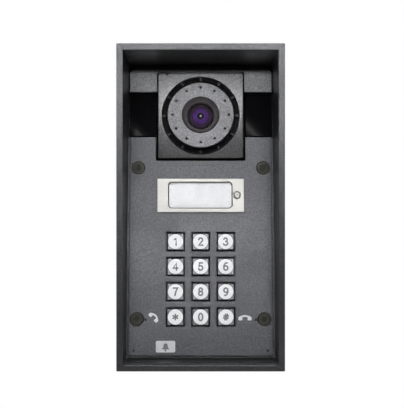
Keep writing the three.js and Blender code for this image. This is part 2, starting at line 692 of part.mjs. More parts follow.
for (const key of KEY_PLACES) {
  add(panel, `key_cap_${key.name}`, surface(keyCap(key)), MATERIAL.key);
  add(panel, `key_lens_${key.name}`, keyLens(key), MATERIAL.keyLens);
}

function keyMat() {
  const [front, back] = [FLANGE_BACK - KEY_TRAVEL - GAP, FLANGE_BACK - KEY_TRAVEL - GAP - 0.9];
  const holes = KEY_PLACES.map(({ x, y }) => (
    drum(x, y, back - OVER, front + OVER, STEM_RADIUS + 2 * GAP, undefined, 8)
  ));
  return cut(solid(slab(rectangle(-27, -84, 27, -14, 2), back, front, 1)), ...holes);
}

add(panel, 'key_mat', surface(keyMat()), MATERIAL.rubber);

function keypadBoard() {
  const front = KEYPAD_BOARD_FRONT;
  const half = SWITCH_SIDE / 2;
  const sheet = slab(rectangle(-33, -88.5, 33, 27, 1), front - BOARD_THICKNESS, front, 2);
  const switches = [...KEY_PLACES, { x: 0, y: CALL_Y }].map(({ x, y }) => (
    block(x - half, y - half, front - 0.5, x + half, y + half, SWITCH_TOP)
  ));
  return join(sheet, ...switches);
}

add(panel, 'keypad_board', surface(keypadBoard()), MATERIAL.board);

for (const [word, s] of SIDES) {
  add(panel, `microphone_${word}`,
    drum(s * MICROPHONE_X, MICROPHONE_Y, -6, PLATE_BACK - GAP, MICROPHONE_RADIUS, undefined, 16),
    MATERIAL.magnet);
}

// ---------------------------------------------------------------------------------------------
// Call button: steel frame, clear cover, paper label and black base, held by one screw
// ---------------------------------------------------------------------------------------------

const LIP_BACK = CALL_PROUD - CALL_LIP;
const CALL_FRAME_BACK = CALL_TRAVEL + GAP;
const COVER = { back: LIP_BACK - GAP - 0.8, front: LIP_BACK - GAP };
const CARD = { back: COVER.back - GAP - 0.4, front: COVER.back - GAP };
const BASE_FRONT = CARD.back - GAP;
const COVER_MARGIN = 0.5;

/** A rectangle centred on the call button's window, larger by a margin. */
function windowShape(margin, corner) {
  const [w, h] = [CALL_WINDOW_WIDTH / 2 + margin, CALL_WINDOW_HEIGHT / 2 + margin];
  const [x, y] = [CALL_WINDOW_X, CALL_WINDOW_Y];
  return rectangle(x - w, y - h, x + w, y + h, corner);
}

function callFrame() {
  const [w, h] = [CALL_WIDTH / 2, CALL_HEIGHT / 2];
  const plate = slab(rectangle(-w, CALL_Y - h, w, CALL_Y + h, 0.8), CALL_FRAME_BACK, CALL_PROUD, 3);
  const opening = slab(windowShape(0, CALL_WINDOW_CORNER), CALL_FRAME_BACK - OVER, CALL_PROUD + OVER);
  const pocket = slab(windowShape(COVER_MARGIN + GAP, 1), CALL_FRAME_BACK - OVER, LIP_BACK, 1);
  const seat = drum(CALL_SCREW_X, CALL_SCREW_Y, LIP_BACK, CALL_PROUD + OVER, CALL_SCREW_RADIUS + 0.4);
  const hole = drum(CALL_SCREW_X, CALL_SCREW_Y, CALL_FRAME_BACK - OVER, CALL_PROUD + OVER, 1.8);
  return cut(solid(plate), opening, pocket, seat, hole);
}

/** The black base: it passes through the plate, is held in by a flange, and carries the card. */
function callBase() {
  const margin = CALL_OVERLAP + GAP;
  const [w, h] = [CALL_WIDTH / 2 - margin, CALL_HEIGHT / 2 - margin];
  const top = CALL_FRAME_BACK - GAP;
  const body = block(-w, CALL_Y - h, FLANGE_BACK, w, CALL_Y + h, top);
  const flange = block(-w - 2, CALL_Y - h - 2, FLANGE_BACK, w + 2, CALL_Y + h + 2, FLANGE_FRONT);
  const stem = drum(0, CALL_Y, STEM_END, FLANGE_BACK + 0.5, STEM_RADIUS, undefined, 16);
  const thread = drum(CALL_SCREW_X, CALL_SCREW_Y, FLANGE_BACK + 0.4, CALL_PROUD, 1.7, undefined, 16);
  const pocket = slab(windowShape(COVER_MARGIN + GAP, 0.8), BASE_FRONT, CALL_PROUD, 1);
  return cut(join(body, flange, stem), thread, pocket);
}

add(panel, 'call_frame', surface(callFrame()), MATERIAL.steel);
add(panel, 'call_cover', slab(windowShape(COVER_MARGIN, 0.8), COVER.back, COVER.front, 2), MATERIAL.clear);
add(panel, 'call_label', slab(windowShape(COVER_MARGIN, 0.8), CARD.back, CARD.front, 2), MATERIAL.label);
add(panel, 'call_base', surface(callBase()), MATERIAL.blackPlastic);

const SEAT_LEVEL = LIP_BACK + GAP;
add(panel, 'call_screw', surface(cut(solid(turned([
  [0, FLANGE_BACK + 0.8], [1.4, FLANGE_BACK + 0.8], [1.4, SEAT_LEVEL], [CALL_SCREW_RADIUS, SEAT_LEVEL],
  [CALL_SCREW_RADIUS, SEAT_LEVEL + 0.4], [CALL_SCREW_RADIUS - 0.7, SEAT_LEVEL + 0.8], [0, SEAT_LEVEL + 0.9],
], 16)), drum(0, 0, SEAT_LEVEL + 0.2, 5, 1.2, undefined, 6)))
  .translate(CALL_SCREW_X, CALL_SCREW_Y, 0), MATERIAL.screw);

// ---------------------------------------------------------------------------------------------
// Main board on the back wall, with its terminal block and network socket
// ---------------------------------------------------------------------------------------------

const MAIN_BACK = BACK_WALL + BOARD_STANDOFF_LENGTH + GAP;
const MAIN_FRONT = MAIN_BACK + BOARD_THICKNESS;

function mainBoard() {
  const sheet = slab(
    rectangle(-MAIN_BOARD_HALF, MAIN_BOARD_BOTTOM, MAIN_BOARD_HALF, MAIN_BOARD_TOP, 1),
    MAIN_BACK, MAIN_FRONT, 2,
  );
  const sunk = MAIN_FRONT - 0.5;
  const processor = block(-10, -28, sunk, 6, -12, MAIN_FRONT + 1.8);
  const memory = block(12, -26, sunk, 24, -16, MAIN_FRONT + 1.2);
  const transformer = block(8, -56, sunk, 24, -40, MAIN_FRONT + 7);
  const capacitors = [[-24, -20], [-24, -34], [-12, -46]]
    .map(([x, z]) => drum(x, z, sunk, MAIN_FRONT + 10, 4, undefined, 16));
  return join(sheet, processor, memory, transformer, ...capacitors);
}

add(wall, 'main_board', surface(mainBoard()), MATERIAL.board);

function terminalBlock() {
  const seat = MAIN_FRONT + GAP;
  const [x0, z0, poles, pitch] = [-30, -86, 6, 5];
  const body = block(x0, z0, seat, x0 + poles * pitch, z0 + 9, seat + 10);
  const holes = Array.from({ length: poles }, (_, i) => (
    drum(x0 + (i + 0.5) * pitch, z0 + 4.5, seat + 6, seat + 10 + OVER, 1.5, undefined, 12)
  ));
  return cut(solid(body), ...holes);
}

add(wall, 'terminal_block', surface(terminalBlock()), MATERIAL.terminal);

function networkSocket() {
  const seat = MAIN_FRONT + GAP;
  const body = block(10, -88, seat, 26, -67, seat + 13.5);
  const mouth = block(12, -89, seat + 3, 24, -76, seat + 11);
  return cut(solid(body), mouth);
}

add(wall, 'network_socket', surface(networkSocket()), MATERIAL.socket);

export default intercom;
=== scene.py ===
"""Door intercom panel: a hooded dark grey housing with a camera, light windows, a name-plate button
and a keypad on a sloping plate. The CAD frame gives every place and size; this script adds the fine
shapes, the materials, the light and the camera. Local shapes are in millimetres and are placed by
matrices that turn them into metres of the shared frame."""

import json
from math import atan2, cos, hypot, pi, radians, sin, sqrt, tan

import bmesh
import bpy
from mathutils import Matrix, Vector


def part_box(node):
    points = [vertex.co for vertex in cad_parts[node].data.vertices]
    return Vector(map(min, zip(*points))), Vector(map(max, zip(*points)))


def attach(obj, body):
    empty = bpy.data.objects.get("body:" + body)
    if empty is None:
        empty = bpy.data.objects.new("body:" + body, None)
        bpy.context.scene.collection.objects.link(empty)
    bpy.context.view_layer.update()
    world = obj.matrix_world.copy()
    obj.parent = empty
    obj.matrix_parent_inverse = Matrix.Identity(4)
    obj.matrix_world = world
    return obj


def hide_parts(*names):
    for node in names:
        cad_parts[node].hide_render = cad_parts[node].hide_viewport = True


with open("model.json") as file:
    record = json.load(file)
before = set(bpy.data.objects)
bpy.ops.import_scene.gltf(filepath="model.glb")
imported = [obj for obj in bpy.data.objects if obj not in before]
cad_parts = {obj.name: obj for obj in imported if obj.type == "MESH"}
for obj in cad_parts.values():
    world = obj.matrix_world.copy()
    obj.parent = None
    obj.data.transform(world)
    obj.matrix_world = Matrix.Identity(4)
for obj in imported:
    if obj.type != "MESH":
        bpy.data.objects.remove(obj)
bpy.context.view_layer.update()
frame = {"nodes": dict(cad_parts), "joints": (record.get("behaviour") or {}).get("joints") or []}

MM = 0.001
TAU = 2 * pi

# ---- Places taken from the CAD


def seat(origin, right, up, out):
    """A matrix from local millimetres to metres of the shared frame."""
    matrix = Matrix((right, up, out)).transposed().to_4x4()
    matrix.translation = origin
    return matrix @ Matrix.Scale(MM, 4)


def local_points(node, matrix):
    back = matrix.inverted()
    return [back @ vertex.co for vertex in frame["nodes"][node].data.vertices]


def local_box(node, matrix):
    """Lowest and highest corner of a CAD node in a local frame, in millimetres."""
    points = local_points(node, matrix)
    low = Vector([min(p[i] for p in points) for i in range(3)])
    high = Vector([max(p[i] for p in points) for i in range(3)])
    return low, high


def middle(box):
    return (box[0] + box[1]) / 2


RIGHT = Vector((1, 0, 0))
UP = Vector((0, 0, 1))
FRONT = Vector((0, -1, 0))
call_joint = next(j for j in frame["joints"] if j["name"] == "call_button_press")
OUT = -Vector(call_joint["axis"]).normalized()
UPSLOPE = OUT.cross(RIGHT)

# The sloping panel: x right, y up the slope, z out of it, with z = 0 on the face of the front plate
plate_level = max(v.co.dot(OUT) for v in frame["nodes"]["front_plate"].data.vertices)
PANEL = seat(Vector((0, plate_level / OUT.y, 0)), RIGHT, UPSLOPE, OUT)

# The wall: x right, y up, z the distance from the wall
WALL = seat(Vector((0, 0, 0)), RIGHT, UP, FRONT)

# The camera's upright bezel, with z = 0 on its face, and its round core, square to the panel
BEZEL_LENGTH = 16
BEZEL_HALF = 29.5
SLEEVE_BACK = -10
bezel_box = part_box("camera_bezel")
camera_origin = Vector((0, bezel_box[1].y - BEZEL_LENGTH * MM, bezel_box[1].z - BEZEL_HALF * MM))
BEZEL = seat(camera_origin, RIGHT, UP, FRONT)
LENS = seat(camera_origin, RIGHT, UPSLOPE, OUT)


def panel_at(place):
    """The panel's frame moved to a place on the panel."""
    return PANEL @ Matrix.Translation((place.x, place.y, 0))


KEYS = ["1", "2", "3", "4", "5", "6", "7", "8", "9", "star", "0", "hash"]
SIDES = {"left": -1, "right": 1}

# ---- Outlines

ARC_STEPS = 5


def rectangle(x0, y0, x1, y1, lower=0.0, upper=None):
    """Corners of a rectangle as (x, y, radius), anticlockwise."""
    upper = lower if upper is None else upper
    return [(x0, y0, lower), (x1, y0, lower), (x1, y1, upper), (x0, y1, upper)]


def outline_of(box, corner, inset=0.0):
    """The rectangle that a box fills, drawn in by inset."""
    low, high = box
    return rectangle(low.x + inset, low.y + inset, high.x - inset, high.y - inset, corner)


def circle(x, y, radius, steps=40):
    return {"x": x, "y": y, "radius": radius, "steps": steps}


def trace(shape, inset=0.0):
    """Points of an outline moved inwards by inset. The number of points doesn't depend on inset."""
    if isinstance(shape, dict):
        reach = shape["radius"] - inset
        turns = [TAU * i / shape["steps"] for i in range(shape["steps"])]
        return [(shape["x"] + reach * cos(a), shape["y"] + reach * sin(a)) for a in turns]
    points = []
    count = len(shape)
    for i, (x, y, radius) in enumerate(shape):
        before, after = shape[i - 1], shape[(i + 1) % count]
        d1 = Vector((x - before[0], y - before[1])).normalized()
        d2 = Vector((after[0] - x, after[1] - y)).normalized()
        n1, n2 = Vector((-d1.y, d1.x)), Vector((-d2.y, d2.x))
        side = 1 if d1.cross(d2) > 0 else -1
        reach = max(radius, side * inset)
        centre = Vector((x, y)) + side * reach * (n1 + n2) / (1 + n1.dot(n2))
        bend = max(radius - side * inset, 0.0)
        for step in range(ARC_STEPS + 1):
            share = step / ARC_STEPS
            normal = (n1 * (1 - share) + n2 * share).normalized()
            points.append(tuple(centre - side * bend * normal))
    return points


def quarter(radius, steps=4):
    """(inset, drop) pairs of a rounded edge, from the face to the side."""
    turns = [pi / 2 * i / steps for i in range(steps + 1)]
    return [(radius * (1 - sin(a)), radius * (1 - cos(a))) for a in turns]


# ---- Mesh building


def ring(bm, points, z):
    return [bm.verts.new((x, y, z)) for x, y in points]


def bridge(bm, one, two):
    count = len(one)
    for i in range(count):
        j = (i + 1) % count
        bm.faces.new((one[i], one[j], two[j], two[i]))


def loft(bm, rings):
    for one, two in zip(rings, rings[1:]):
        bridge(bm, one, two)


def cap(bm, rings):
    """A flat face across one outer ring, less the holes that the other rings bound."""
    if len(rings) == 1:
        bm.faces.new(rings[0])
        return
    edges = []
    for loop in rings:
        edges += [bm.edges.get((loop[i - 1], loop[i])) for i in range(len(loop))]
    bmesh.ops.triangle_fill(bm, use_beauty=True, edges=edges)


def edge_levels(front, back, front_edge, back_edge):
    """(inset, z) levels of a wall with rounded edges at both ends."""
    levels = [(inset, front - drop) for inset, drop in quarter(front_edge)]
    return levels + [(inset, back + drop) for inset, drop in reversed(quarter(back_edge, 2))]


def add_plate(bm, outer, front, back, holes=(), edge=0.4, hole_edge=0.25, back_edge=0.15):
    """A flat plate with rounded edges. A hole is an outline, or (outline, levels) for a stepped one,
    where levels are (how far the hole is wider, z) from the front to the back."""
    walls = [(outer, 1, edge_levels(front, back, edge, back_edge))]
    for hole in holes:
        if isinstance(hole, tuple):
            walls.append((hole[0], -1, hole[1]))
        else:
            walls.append((hole, -1, edge_levels(front, back, hole_edge, back_edge)))
    fronts, backs = [], []
    for shape, sign, levels in walls:
        rings = [ring(bm, trace(shape, sign * inset), z) for inset, z in levels]
        loft(bm, rings)
        fronts.append(rings[0])
        backs.append(rings[-1])
    cap(bm, fronts)
    cap(bm, backs)


def add_lathe(bm, profile, steps=64, centre=(0, 0)):
    """A turned shape about z through centre. The profile of (radius, z) is closed by itself, or by
    ending on the axis."""
    rings = []
    for radius, z in profile:
        if radius < 1e-6:
            rings.append([bm.verts.new((centre[0], centre[1], z))])
        else:
            rings.append(ring(bm, trace(circle(centre[0], centre[1], radius, steps)), z))
    on_axis = profile[0][0] < 1e-6 or profile[-1][0] < 1e-6
    pairs = list(zip(rings, rings[1:]))
    if not on_axis:
        pairs.append((rings[-1], rings[0]))
    for one, two in pairs:
        if len(one) == 1 and len(two) == 1:
            continue
        if len(one) == 1 or len(two) == 1:
            tip, loop = (one[0], two) if len(one) == 1 else (two[0], one)
            for i in range(len(loop)):
                bm.faces.new((tip, loop[i - 1], loop[i]))
        else:
            bridge(bm, one, two)


def add_brick(bm, x0, y0, z0, x1, y1, z1, edge=0.2, steps=2, turn=None):
    """A block between two corners with rounded edges."""
    made = bmesh.ops.create_cube(bm, size=1.0)["verts"]
    size = Vector((x1 - x0, y1 - y0, z1 - z0))
    centre = Vector((x0 + x1, y0 + y1, z0 + z1)) / 2
    for vertex in made:
        vertex.co = centre + Vector([vertex.co[i] * size[i] for i in range(3)])
        if turn is not None:
            vertex.co = turn @ vertex.co
    edges = list({e for v in made for e in v.link_edges})
    if edge > 0:
        bmesh.ops.bevel(bm, geom=edges, offset=edge, segments=steps, profile=0.5, affect="EDGES")


def add_bar(bm, start, end, radius, steps=20):
    """A plain round bar between two points."""
    start, end = Vector(start), Vector(end)
    turn = (end - start).to_track_quat("Z", "Y")
    loops = []
    for centre in (start, end):
        points = trace(circle(0, 0, radius, steps))
        loops.append([bm.verts.new(centre + turn @ Vector((x, y, 0))) for x, y in points])
    bridge(bm, loops[0], loops[1])
    bm.faces.new(loops[0])
    bm.faces.new(loops[1])


def mesh_from(bm, name, matrix):
    bmesh.ops.recalc_face_normals(bm, faces=bm.faces)
    mesh = bpy.data.meshes.new(name)
    bm.to_mesh(mesh)
    bm.free()
    mesh.transform(matrix)
    return mesh


def carve(mesh, cutter_meshes):
    """The mesh with the closed cutter meshes taken away."""
    scene = bpy.context.scene
    body = bpy.data.objects.new("carved", mesh)
    scene.collection.objects.link(body)
    cutters = []
    for cutter_mesh in cutter_meshes:
        cutter = bpy.data.objects.new("cutter", cutter_mesh)
        scene.collection.objects.link(cutter)
        cutters.append(cutter)
        modifier = body.modifiers.new("carve", "BOOLEAN")
        modifier.operation = "DIFFERENCE"
        modifier.solver = "EXACT"
        modifier.object = cutter
    bpy.context.view_layer.update()
    evaluated = body.evaluated_get(bpy.context.evaluated_depsgraph_get())
    result = bpy.data.meshes.new_from_object(evaluated)
    for used in [body, *cutters]:
        bpy.data.objects.remove(used)
    return result


def piece(name, mesh, material, body="root", replaces=(), smooth=38):
    """Puts a finished mesh into the scene as a piece of the object."""
    obj = bpy.data.objects.new(name, mesh)
    bpy.context.scene.collection.objects.link(obj)
    mesh.name = name
    mesh.materials.clear()
    mesh.materials.append(material)
    mesh.polygons.foreach_set("use_smooth", [True] * len(mesh.polygons))
    mesh.set_sharp_from_angle(angle=radians(smooth))
    modifier = obj.modifiers.new("even_normals", "WEIGHTED_NORMAL")
    modifier.keep_sharp = True
    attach(obj, body)
    if replaces:
        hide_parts(*replaces)
    return obj


# ---- Materials


class Finish:
    """A node material with a Principled shader, built up by noise in colour, roughness and bump."""

    def __init__(self, name, colour, roughness, **sockets):
        self.material = bpy.data.materials.new(name)
        self.material.use_nodes = True
        self.tree = self.material.node_tree
        self.shader = self.tree.nodes["Principled BSDF"]
        self.shader.inputs["Base Color"].default_value = (*colour, 1)
        self.shader.inputs["Roughness"].default_value = roughness
        for socket, value in sockets.items():
            self.shader.inputs[socket.replace("_", " ")].default_value = value
        self.colour = colour
        self.roughness = roughness
        coordinates = self.node("ShaderNodeTexCoord")
        self.place = coordinates.outputs["Object"]

    def node(self, kind, **values):
        made = self.tree.nodes.new(kind)
        for key, value in values.items():
            setattr(made, key, value)
        return made

    def link(self, output, target):
        self.tree.links.new(output, target)

    def stretched(self, scale):
        mapping = self.node("ShaderNodeMapping")
        mapping.inputs["Scale"].default_value = scale
        self.link(self.place, mapping.inputs["Vector"])
        return mapping.outputs["Vector"]

    def noise(self, scale, detail=3.0, stretch=None, rough=0.55):
        texture = self.node("ShaderNodeTexNoise")
        texture.inputs["Scale"].default_value = scale
        texture.inputs["Detail"].default_value = detail
        texture.inputs["Roughness"].default_value = rough
        vector = self.place if stretch is None else self.stretched(stretch)
        self.link(vector, texture.inputs["Vector"])
        return texture.outputs["Fac"]

    def ramp(self, value, low, high, start=0.3, end=0.7):
        """Maps a noise value to a range."""
        node = self.node("ShaderNodeMapRange")
        node.inputs["From Min"].default_value = start
        node.inputs["From Max"].default_value = end
        node.inputs["To Min"].default_value = low
        node.inputs["To Max"].default_value = high
        self.link(value, node.inputs["Value"])
        return node.outputs["Result"]

    def tint(self, layers):
        """Base colour times every layer, each a value socket near 1."""
        current = None
        for factor in layers:
            node = self.node("ShaderNodeVectorMath", operation="SCALE")
            if current is None:
                node.inputs[0].default_value = self.colour
            else:
                self.link(current, node.inputs[0])
            self.link(factor, node.inputs["Scale"])
            current = node.outputs[0]
        self.link(current, self.shader.inputs["Base Color"])

    def vary_roughness(self, value, spread):
        low, high = self.roughness - spread, self.roughness + spread
        self.link(self.ramp(value, low, high), self.shader.inputs["Roughness"])

    def bump(self, layers):
        """Bump from (height socket, depth in metres) layers, coarse first."""
        normal = None
        for height, depth in layers:
            node = self.node("ShaderNodeBump")
            node.inputs["Distance"].default_value = depth
            self.link(height, node.inputs["Height"])
            if normal is not None:
                self.link(normal, node.inputs["Normal"])
            normal = node.outputs["Normal"]
        self.link(normal, self.shader.inputs["Normal"])


MOTTLE = 2.2                     # the middle grains differ this much more in tone than the fine ones


def powder_coat(name, colour, roughness, metallic, grain=2600.0, depth=0.00003, fleck=0.13):
    """Fine-grained powder coat: pebbled bump, small light and dark grains, faint cloudy handling."""
    finish = Finish(name, colour, roughness, Metallic=metallic, Specular_IOR_Level=0.5)
    fine = finish.noise(grain, 2.0)
    coarse = finish.noise(grain / 3.2, 2.0)
    cloud = finish.noise(34.0, 4.0)
    mottle = finish.noise(grain / 2.6, 1.0)
    finish.tint([
        finish.ramp(fine, 1 - fleck, 1 + fleck),
        finish.ramp(mottle, 1 - MOTTLE * fleck, 1 + MOTTLE * fleck),
        finish.ramp(coarse, 1 - fleck / 2, 1 + fleck / 2),
        finish.ramp(cloud, 0.97, 1.03),
    ])
    finish.vary_roughness(cloud, 0.05)
    finish.bump([(coarse, depth), (fine, depth * 0.6)])
    return finish.material


def moulded(name, colour, roughness, depth=0.00003, scale=3000.0, spread=0.04, **sockets):
    """Moulded plastic or rubber: fine texture, cloudy gloss."""
    finish = Finish(name, colour, roughness, **sockets)
    fine = finish.noise(scale, 2.0)
    cloud = finish.noise(90.0, 4.0)
    finish.tint([finish.ramp(cloud, 0.93, 1.07), finish.ramp(fine, 0.97, 1.03)])
    finish.vary_roughness(cloud, spread)
    finish.bump([(fine, depth)])
    return finish.material


def brushed(name, colour, roughness, stretch, depth=0.000012, spread=0.07, line=0.05, **sockets):
    """Metal with fine lines along one direction."""
    finish = Finish(name, colour, roughness, Metallic=1.0, **sockets)
    lines = finish.noise(900.0, 3.0, stretch)
    cloud = finish.noise(60.0, 3.0)
    finish.tint([finish.ramp(lines, 1 - line, 1 + line), finish.ramp(cloud, 0.97, 1.03)])
    finish.vary_roughness(lines, spread)
    finish.bump([(lines, depth)])
    return finish.material


def circuit_board(name, colour):
    """Solder-masked board with paler tracks."""
    finish = Finish(name, colour, 0.42, Specular_IOR_Level=0.5)
    tracks = finish.node("ShaderNodeTexBrick")
    tracks.inputs["Scale"].default_value = 260.0
    tracks.inputs["Mortar Size"].default_value = 0.06
    finish.link(finish.place, tracks.inputs["Vector"])
    cloud = finish.noise(120.0, 3.0)
    finish.tint([finish.ramp(tracks.outputs["Fac"], 1.0, 1.7, 0, 1), finish.ramp(cloud, 0.9, 1.1)])
    finish.vary_roughness(cloud, 0.06)
    finish.bump([(tracks.outputs["Fac"], 0.00003)])
    return finish.material


ALONG_X = (0.03, 1.0, 1.0)
HOUSING_PAINT = powder_coat("housing_paint", (0.073, 0.074, 0.078), 0.34, 0.75)
PLATE_PAINT = powder_coat("plate_paint", (0.068, 0.069, 0.075), 0.36, 0.7)
# Far lighter than the plate paint: partly the strip's own paler tone, partly painted light that stands in
# for the light the hood keeps off the strip
STRIP_TONE_AND_LIGHT = powder_coat("strip_tone_and_light", (0.26, 0.262, 0.27), 0.40, 0.5)
BEZEL_PAINT = powder_coat("bezel_paint", (0.143, 0.142, 0.146), 0.31, 0.8, 2200.0, 0.000008, 0.12)
RIB_PAINT = powder_coat("rib_paint", (0.035, 0.035, 0.036), 0.5, 0.3, 2200.0, 0.00002, 0.07)
DISC_PAINT = powder_coat("disc_paint", (0.122, 0.122, 0.128), 0.32, 0.8, 2200.0, 0.00001, 0.16)
BLACK_WINDOW = moulded("dark_window", (0.004, 0.004, 0.005), 0.12, 0.000002, 400.0, 0.01,
                       Specular_IOR_Level=0.03)
BLACK_PLASTIC = moulded("black_plastic", (0.012, 0.012, 0.013), 0.5)
# Black for the camera skirt, and for the painted shade in the ports and on the screw heads
SKIRT_AND_SHADE_BLACK = moulded("skirt_and_shade_black", (0.004, 0.004, 0.004), 0.8)
SLOT_GREY = moulded("slot_grey", (0.007, 0.007, 0.007), 0.8, 0.00005, 1400.0, Specular_IOR_Level=0.2)
BARREL_BLACK = moulded("barrel_black", (0.075, 0.068, 0.068), 0.34, 0.00001)
RUBBER = moulded("rubber", (0.02, 0.02, 0.021), 0.75, 0.00004, 1500.0)
KEY_METAL = brushed("key_metal", (0.105, 0.105, 0.112), 0.30, (1.0, 0.6, 0.03), 0.000006)
KEY_WHITE = moulded("key_white", (0.95, 0.955, 0.97), 0.4, 0.000004, 2400.0)
DIGIT_INK = moulded("digit_ink", (0.17, 0.175, 0.185), 0.5, 0.000002)
WHITE_INK = moulded("white_ink", (0.72, 0.73, 0.76), 0.5, 0.000004)
CALL_STEEL = brushed("call_steel", (0.50, 0.493, 0.472), 0.50, ALONG_X, 0.000008)
LABEL_CARD = moulded("label_card", (0.97, 0.975, 1.0), 0.75, 0.000004, 1800.0)
SCREW_STEEL = brushed("screw_steel", (0.052, 0.052, 0.043), 0.44, (1.0, 1.0, 0.2), 0.00001)
CALL_SCREW_STEEL = brushed("call_screw_steel", (0.30, 0.297, 0.285), 0.4, ALONG_X, 0.000004)
SPEAKER_METAL = moulded("speaker_metal", (0.03, 0.03, 0.032), 0.45, Metallic=0.6)
CONE_PAPER = moulded("cone_paper", (0.02, 0.02, 0.02), 0.85, 0.00008, 900.0)
MAGNET_PLATE = moulded("magnet_plate", (0.32, 0.32, 0.33), 0.35, 0.00001, Metallic=0.9)
MICROPHONE_CAN = moulded("microphone_can", (0.012, 0.012, 0.012), 0.8, 0.00001)
TERMINAL_GREEN = moulded("terminal_green", (0.04, 0.22, 0.09), 0.5)
SOCKET_SHELL = brushed("socket_shell", (0.55, 0.56, 0.57), 0.3, (1.0, 1.0, 0.1))
BOARD_GREEN = circuit_board("board_green", (0.016, 0.085, 0.04))
BOARD_BLACK = circuit_board("board_black", (0.010, 0.011, 0.012))


def glass_zone(name, colour, roughness):
    """Dark glass, or one of the coloured rings on it."""
    finish = Finish(name, colour, roughness, Specular_IOR_Level=0.06)
    cloud = finish.noise(260.0, 2.0)
    finish.tint([finish.ramp(cloud, 0.8, 1.2)])
    finish.vary_roughness(cloud, 0.03)
    return finish.material


def clear_material():
    """Clear polished plastic over the label."""
    finish = Finish("clear_cover", (1.0, 1.0, 1.0), 0.06, Alpha=0.05)
    cloud = finish.noise(120.0, 3.0)
    finish.vary_roughness(cloud, 0.02)
    return finish.material


LENS_COATING = glass_zone("lens_coating", (0.020, 0.014, 0.021), 0.3)
LENS_MAUVE = glass_zone("lens_mauve", (0.050, 0.032, 0.055), 0.3)
LENS_VIOLET = glass_zone("lens_violet", (0.075, 0.030, 0.165), 0.30)
LENS_CORE = glass_zone("lens_core", (0.003, 0.002, 0.006), 0.15)
LENS_GLINT = glass_zone("lens_glint", (0.45, 0.38, 0.52), 0.25)
CLEAR_COVER = clear_material()

# ---- Housing

housing_box = local_box("housing", WALL)
HALF_WIDTH, HALF_HEIGHT = housing_box[1].x, housing_box[1].y
DEPTH = housing_box[1].z
SIDE_WALL = 4.25
TOP_WALL = 4.3
BOTTOM_WALL = 5.1
BACK_WALL = 3
HOOD_DRAFT = tan(radians(2))
RIM_CHAMFER = 1.4
RIM_CORNER = 2.2
OUTER_CORNER = 0.7
RIM_EDGE = 0.35
WALL_HOLES = [(x, z) for x in (-38, 38) for z in (84, -92)]
WALL_HOLE_RADIUS = 2.75
CABLE_ENTRY = (0, 24)
CABLE_ENTRY_RADIUS = 10
DRAIN_X = 40
DRAIN_DEPTH = 20
DRAIN_RADIUS = 2


def hollow_at(depth, grow=0.0):
    """Outline of the housing's hollow at a distance from the wall."""
    behind = DEPTH - depth
    side = HALF_WIDTH - SIDE_WALL + grow
    top = HALF_HEIGHT - TOP_WALL - HOOD_DRAFT * behind + grow
    raised = min(behind, RIM_CHAMFER)
    bottom = BOTTOM_WALL - HALF_HEIGHT - RIM_CHAMFER + raised - grow * 0.4
    corner = RIM_CORNER - raised * 0.6
    return rectangle(-side, bottom, side, top, corner + grow, 0.25 + grow)


def housing_mesh():
    bm = bmesh.new()
    outer = rectangle(-HALF_WIDTH, -HALF_HEIGHT, HALF_WIDTH, HALF_HEIGHT, OUTER_CORNER)
    outer_rings = [ring(bm, trace(outer, inset), z) for inset, z in edge_levels(DEPTH, 0, 0.4, 0.4)]
    loft(bm, outer_rings)
    steps = [(DEPTH - drop, inset) for inset, drop in quarter(RIM_EDGE)]
    steps += [(DEPTH - RIM_CHAMFER, 0), (DEPTH - RIM_CHAMFER - 0.5, 0)]
    steps += [(DEPTH - share * (DEPTH - BACK_WALL), 0) for share in (0.1, 0.3, 0.5, 0.75, 1)]
    inner_rings = [ring(bm, trace(hollow_at(depth, grow)), depth) for depth, grow in steps]
    loft(bm, inner_rings)
    bridge(bm, outer_rings[0], inner_rings[0])
    holes = [circle(x, z, WALL_HOLE_RADIUS, 24) for x, z in WALL_HOLES]
    holes.append(circle(*CABLE_ENTRY, CABLE_ENTRY_RADIUS, 48))
    hole_rings = []
    for hole in holes:
        levels = [(0.3, 0), (0, 0.3), (0, BACK_WALL - 0.3), (0.3, BACK_WALL)]
        rings = [ring(bm, trace(hole, -grow), z) for grow, z in levels]
        loft(bm, rings)
        hole_rings.append(rings)
    cap(bm, [outer_rings[-1]] + [rings[0] for rings in hole_rings])
    cap(bm, [inner_rings[-1]] + [rings[-1] for rings in hole_rings])
    shell = mesh_from(bm, "housing", WALL)
    cutters = []
    for x in (-DRAIN_X, DRAIN_X):
        bm = bmesh.new()
        low, high = -HALF_HEIGHT - 2, BOTTOM_WALL + 2 - HALF_HEIGHT
        add_bar(bm, (x, low, DRAIN_DEPTH), (x, high, DRAIN_DEPTH), DRAIN_RADIUS, 24)
        cutters.append(mesh_from(bm, "drain", WALL))
    return carve(shell, cutters)


piece("housing_shell", housing_mesh(), HOUSING_PAINT, replaces=["housing"])

# Ledges that carry the gasket and the trays, pillars under the screws, standoffs of the board
plate_box = local_box("front_plate", PANEL)
strip_box = local_box("top_strip", PANEL)
gasket_box = local_box("plate_gasket", PANEL)
PLATE_TOP = plate_box[1].y
PLATE_BOTTOM = plate_box[0].y
SCREWS = {
    f"panel_screw_{row}_{column}": middle(local_box(f"panel_screw_{row}_{column}", PANEL))
    for row in ("top", "bottom") for column in SIDES
}
LEDGE_INNER = 46.6
LEDGE_OUTER = HALF_WIDTH - SIDE_WALL + 1.5
LEDGE_DEPTH = 4.4
LEDGE_TOP = gasket_box[0].z - 0.3
TRAY_FLANGE_BACK = -5.7
UPPER_LEDGE_TOP = TRAY_FLANGE_BACK - 0.3
PILLAR_RADIUS = 4.2
STANDOFF_X = 31
STANDOFF_INSET = 4
STANDOFF_RADIUS = 3


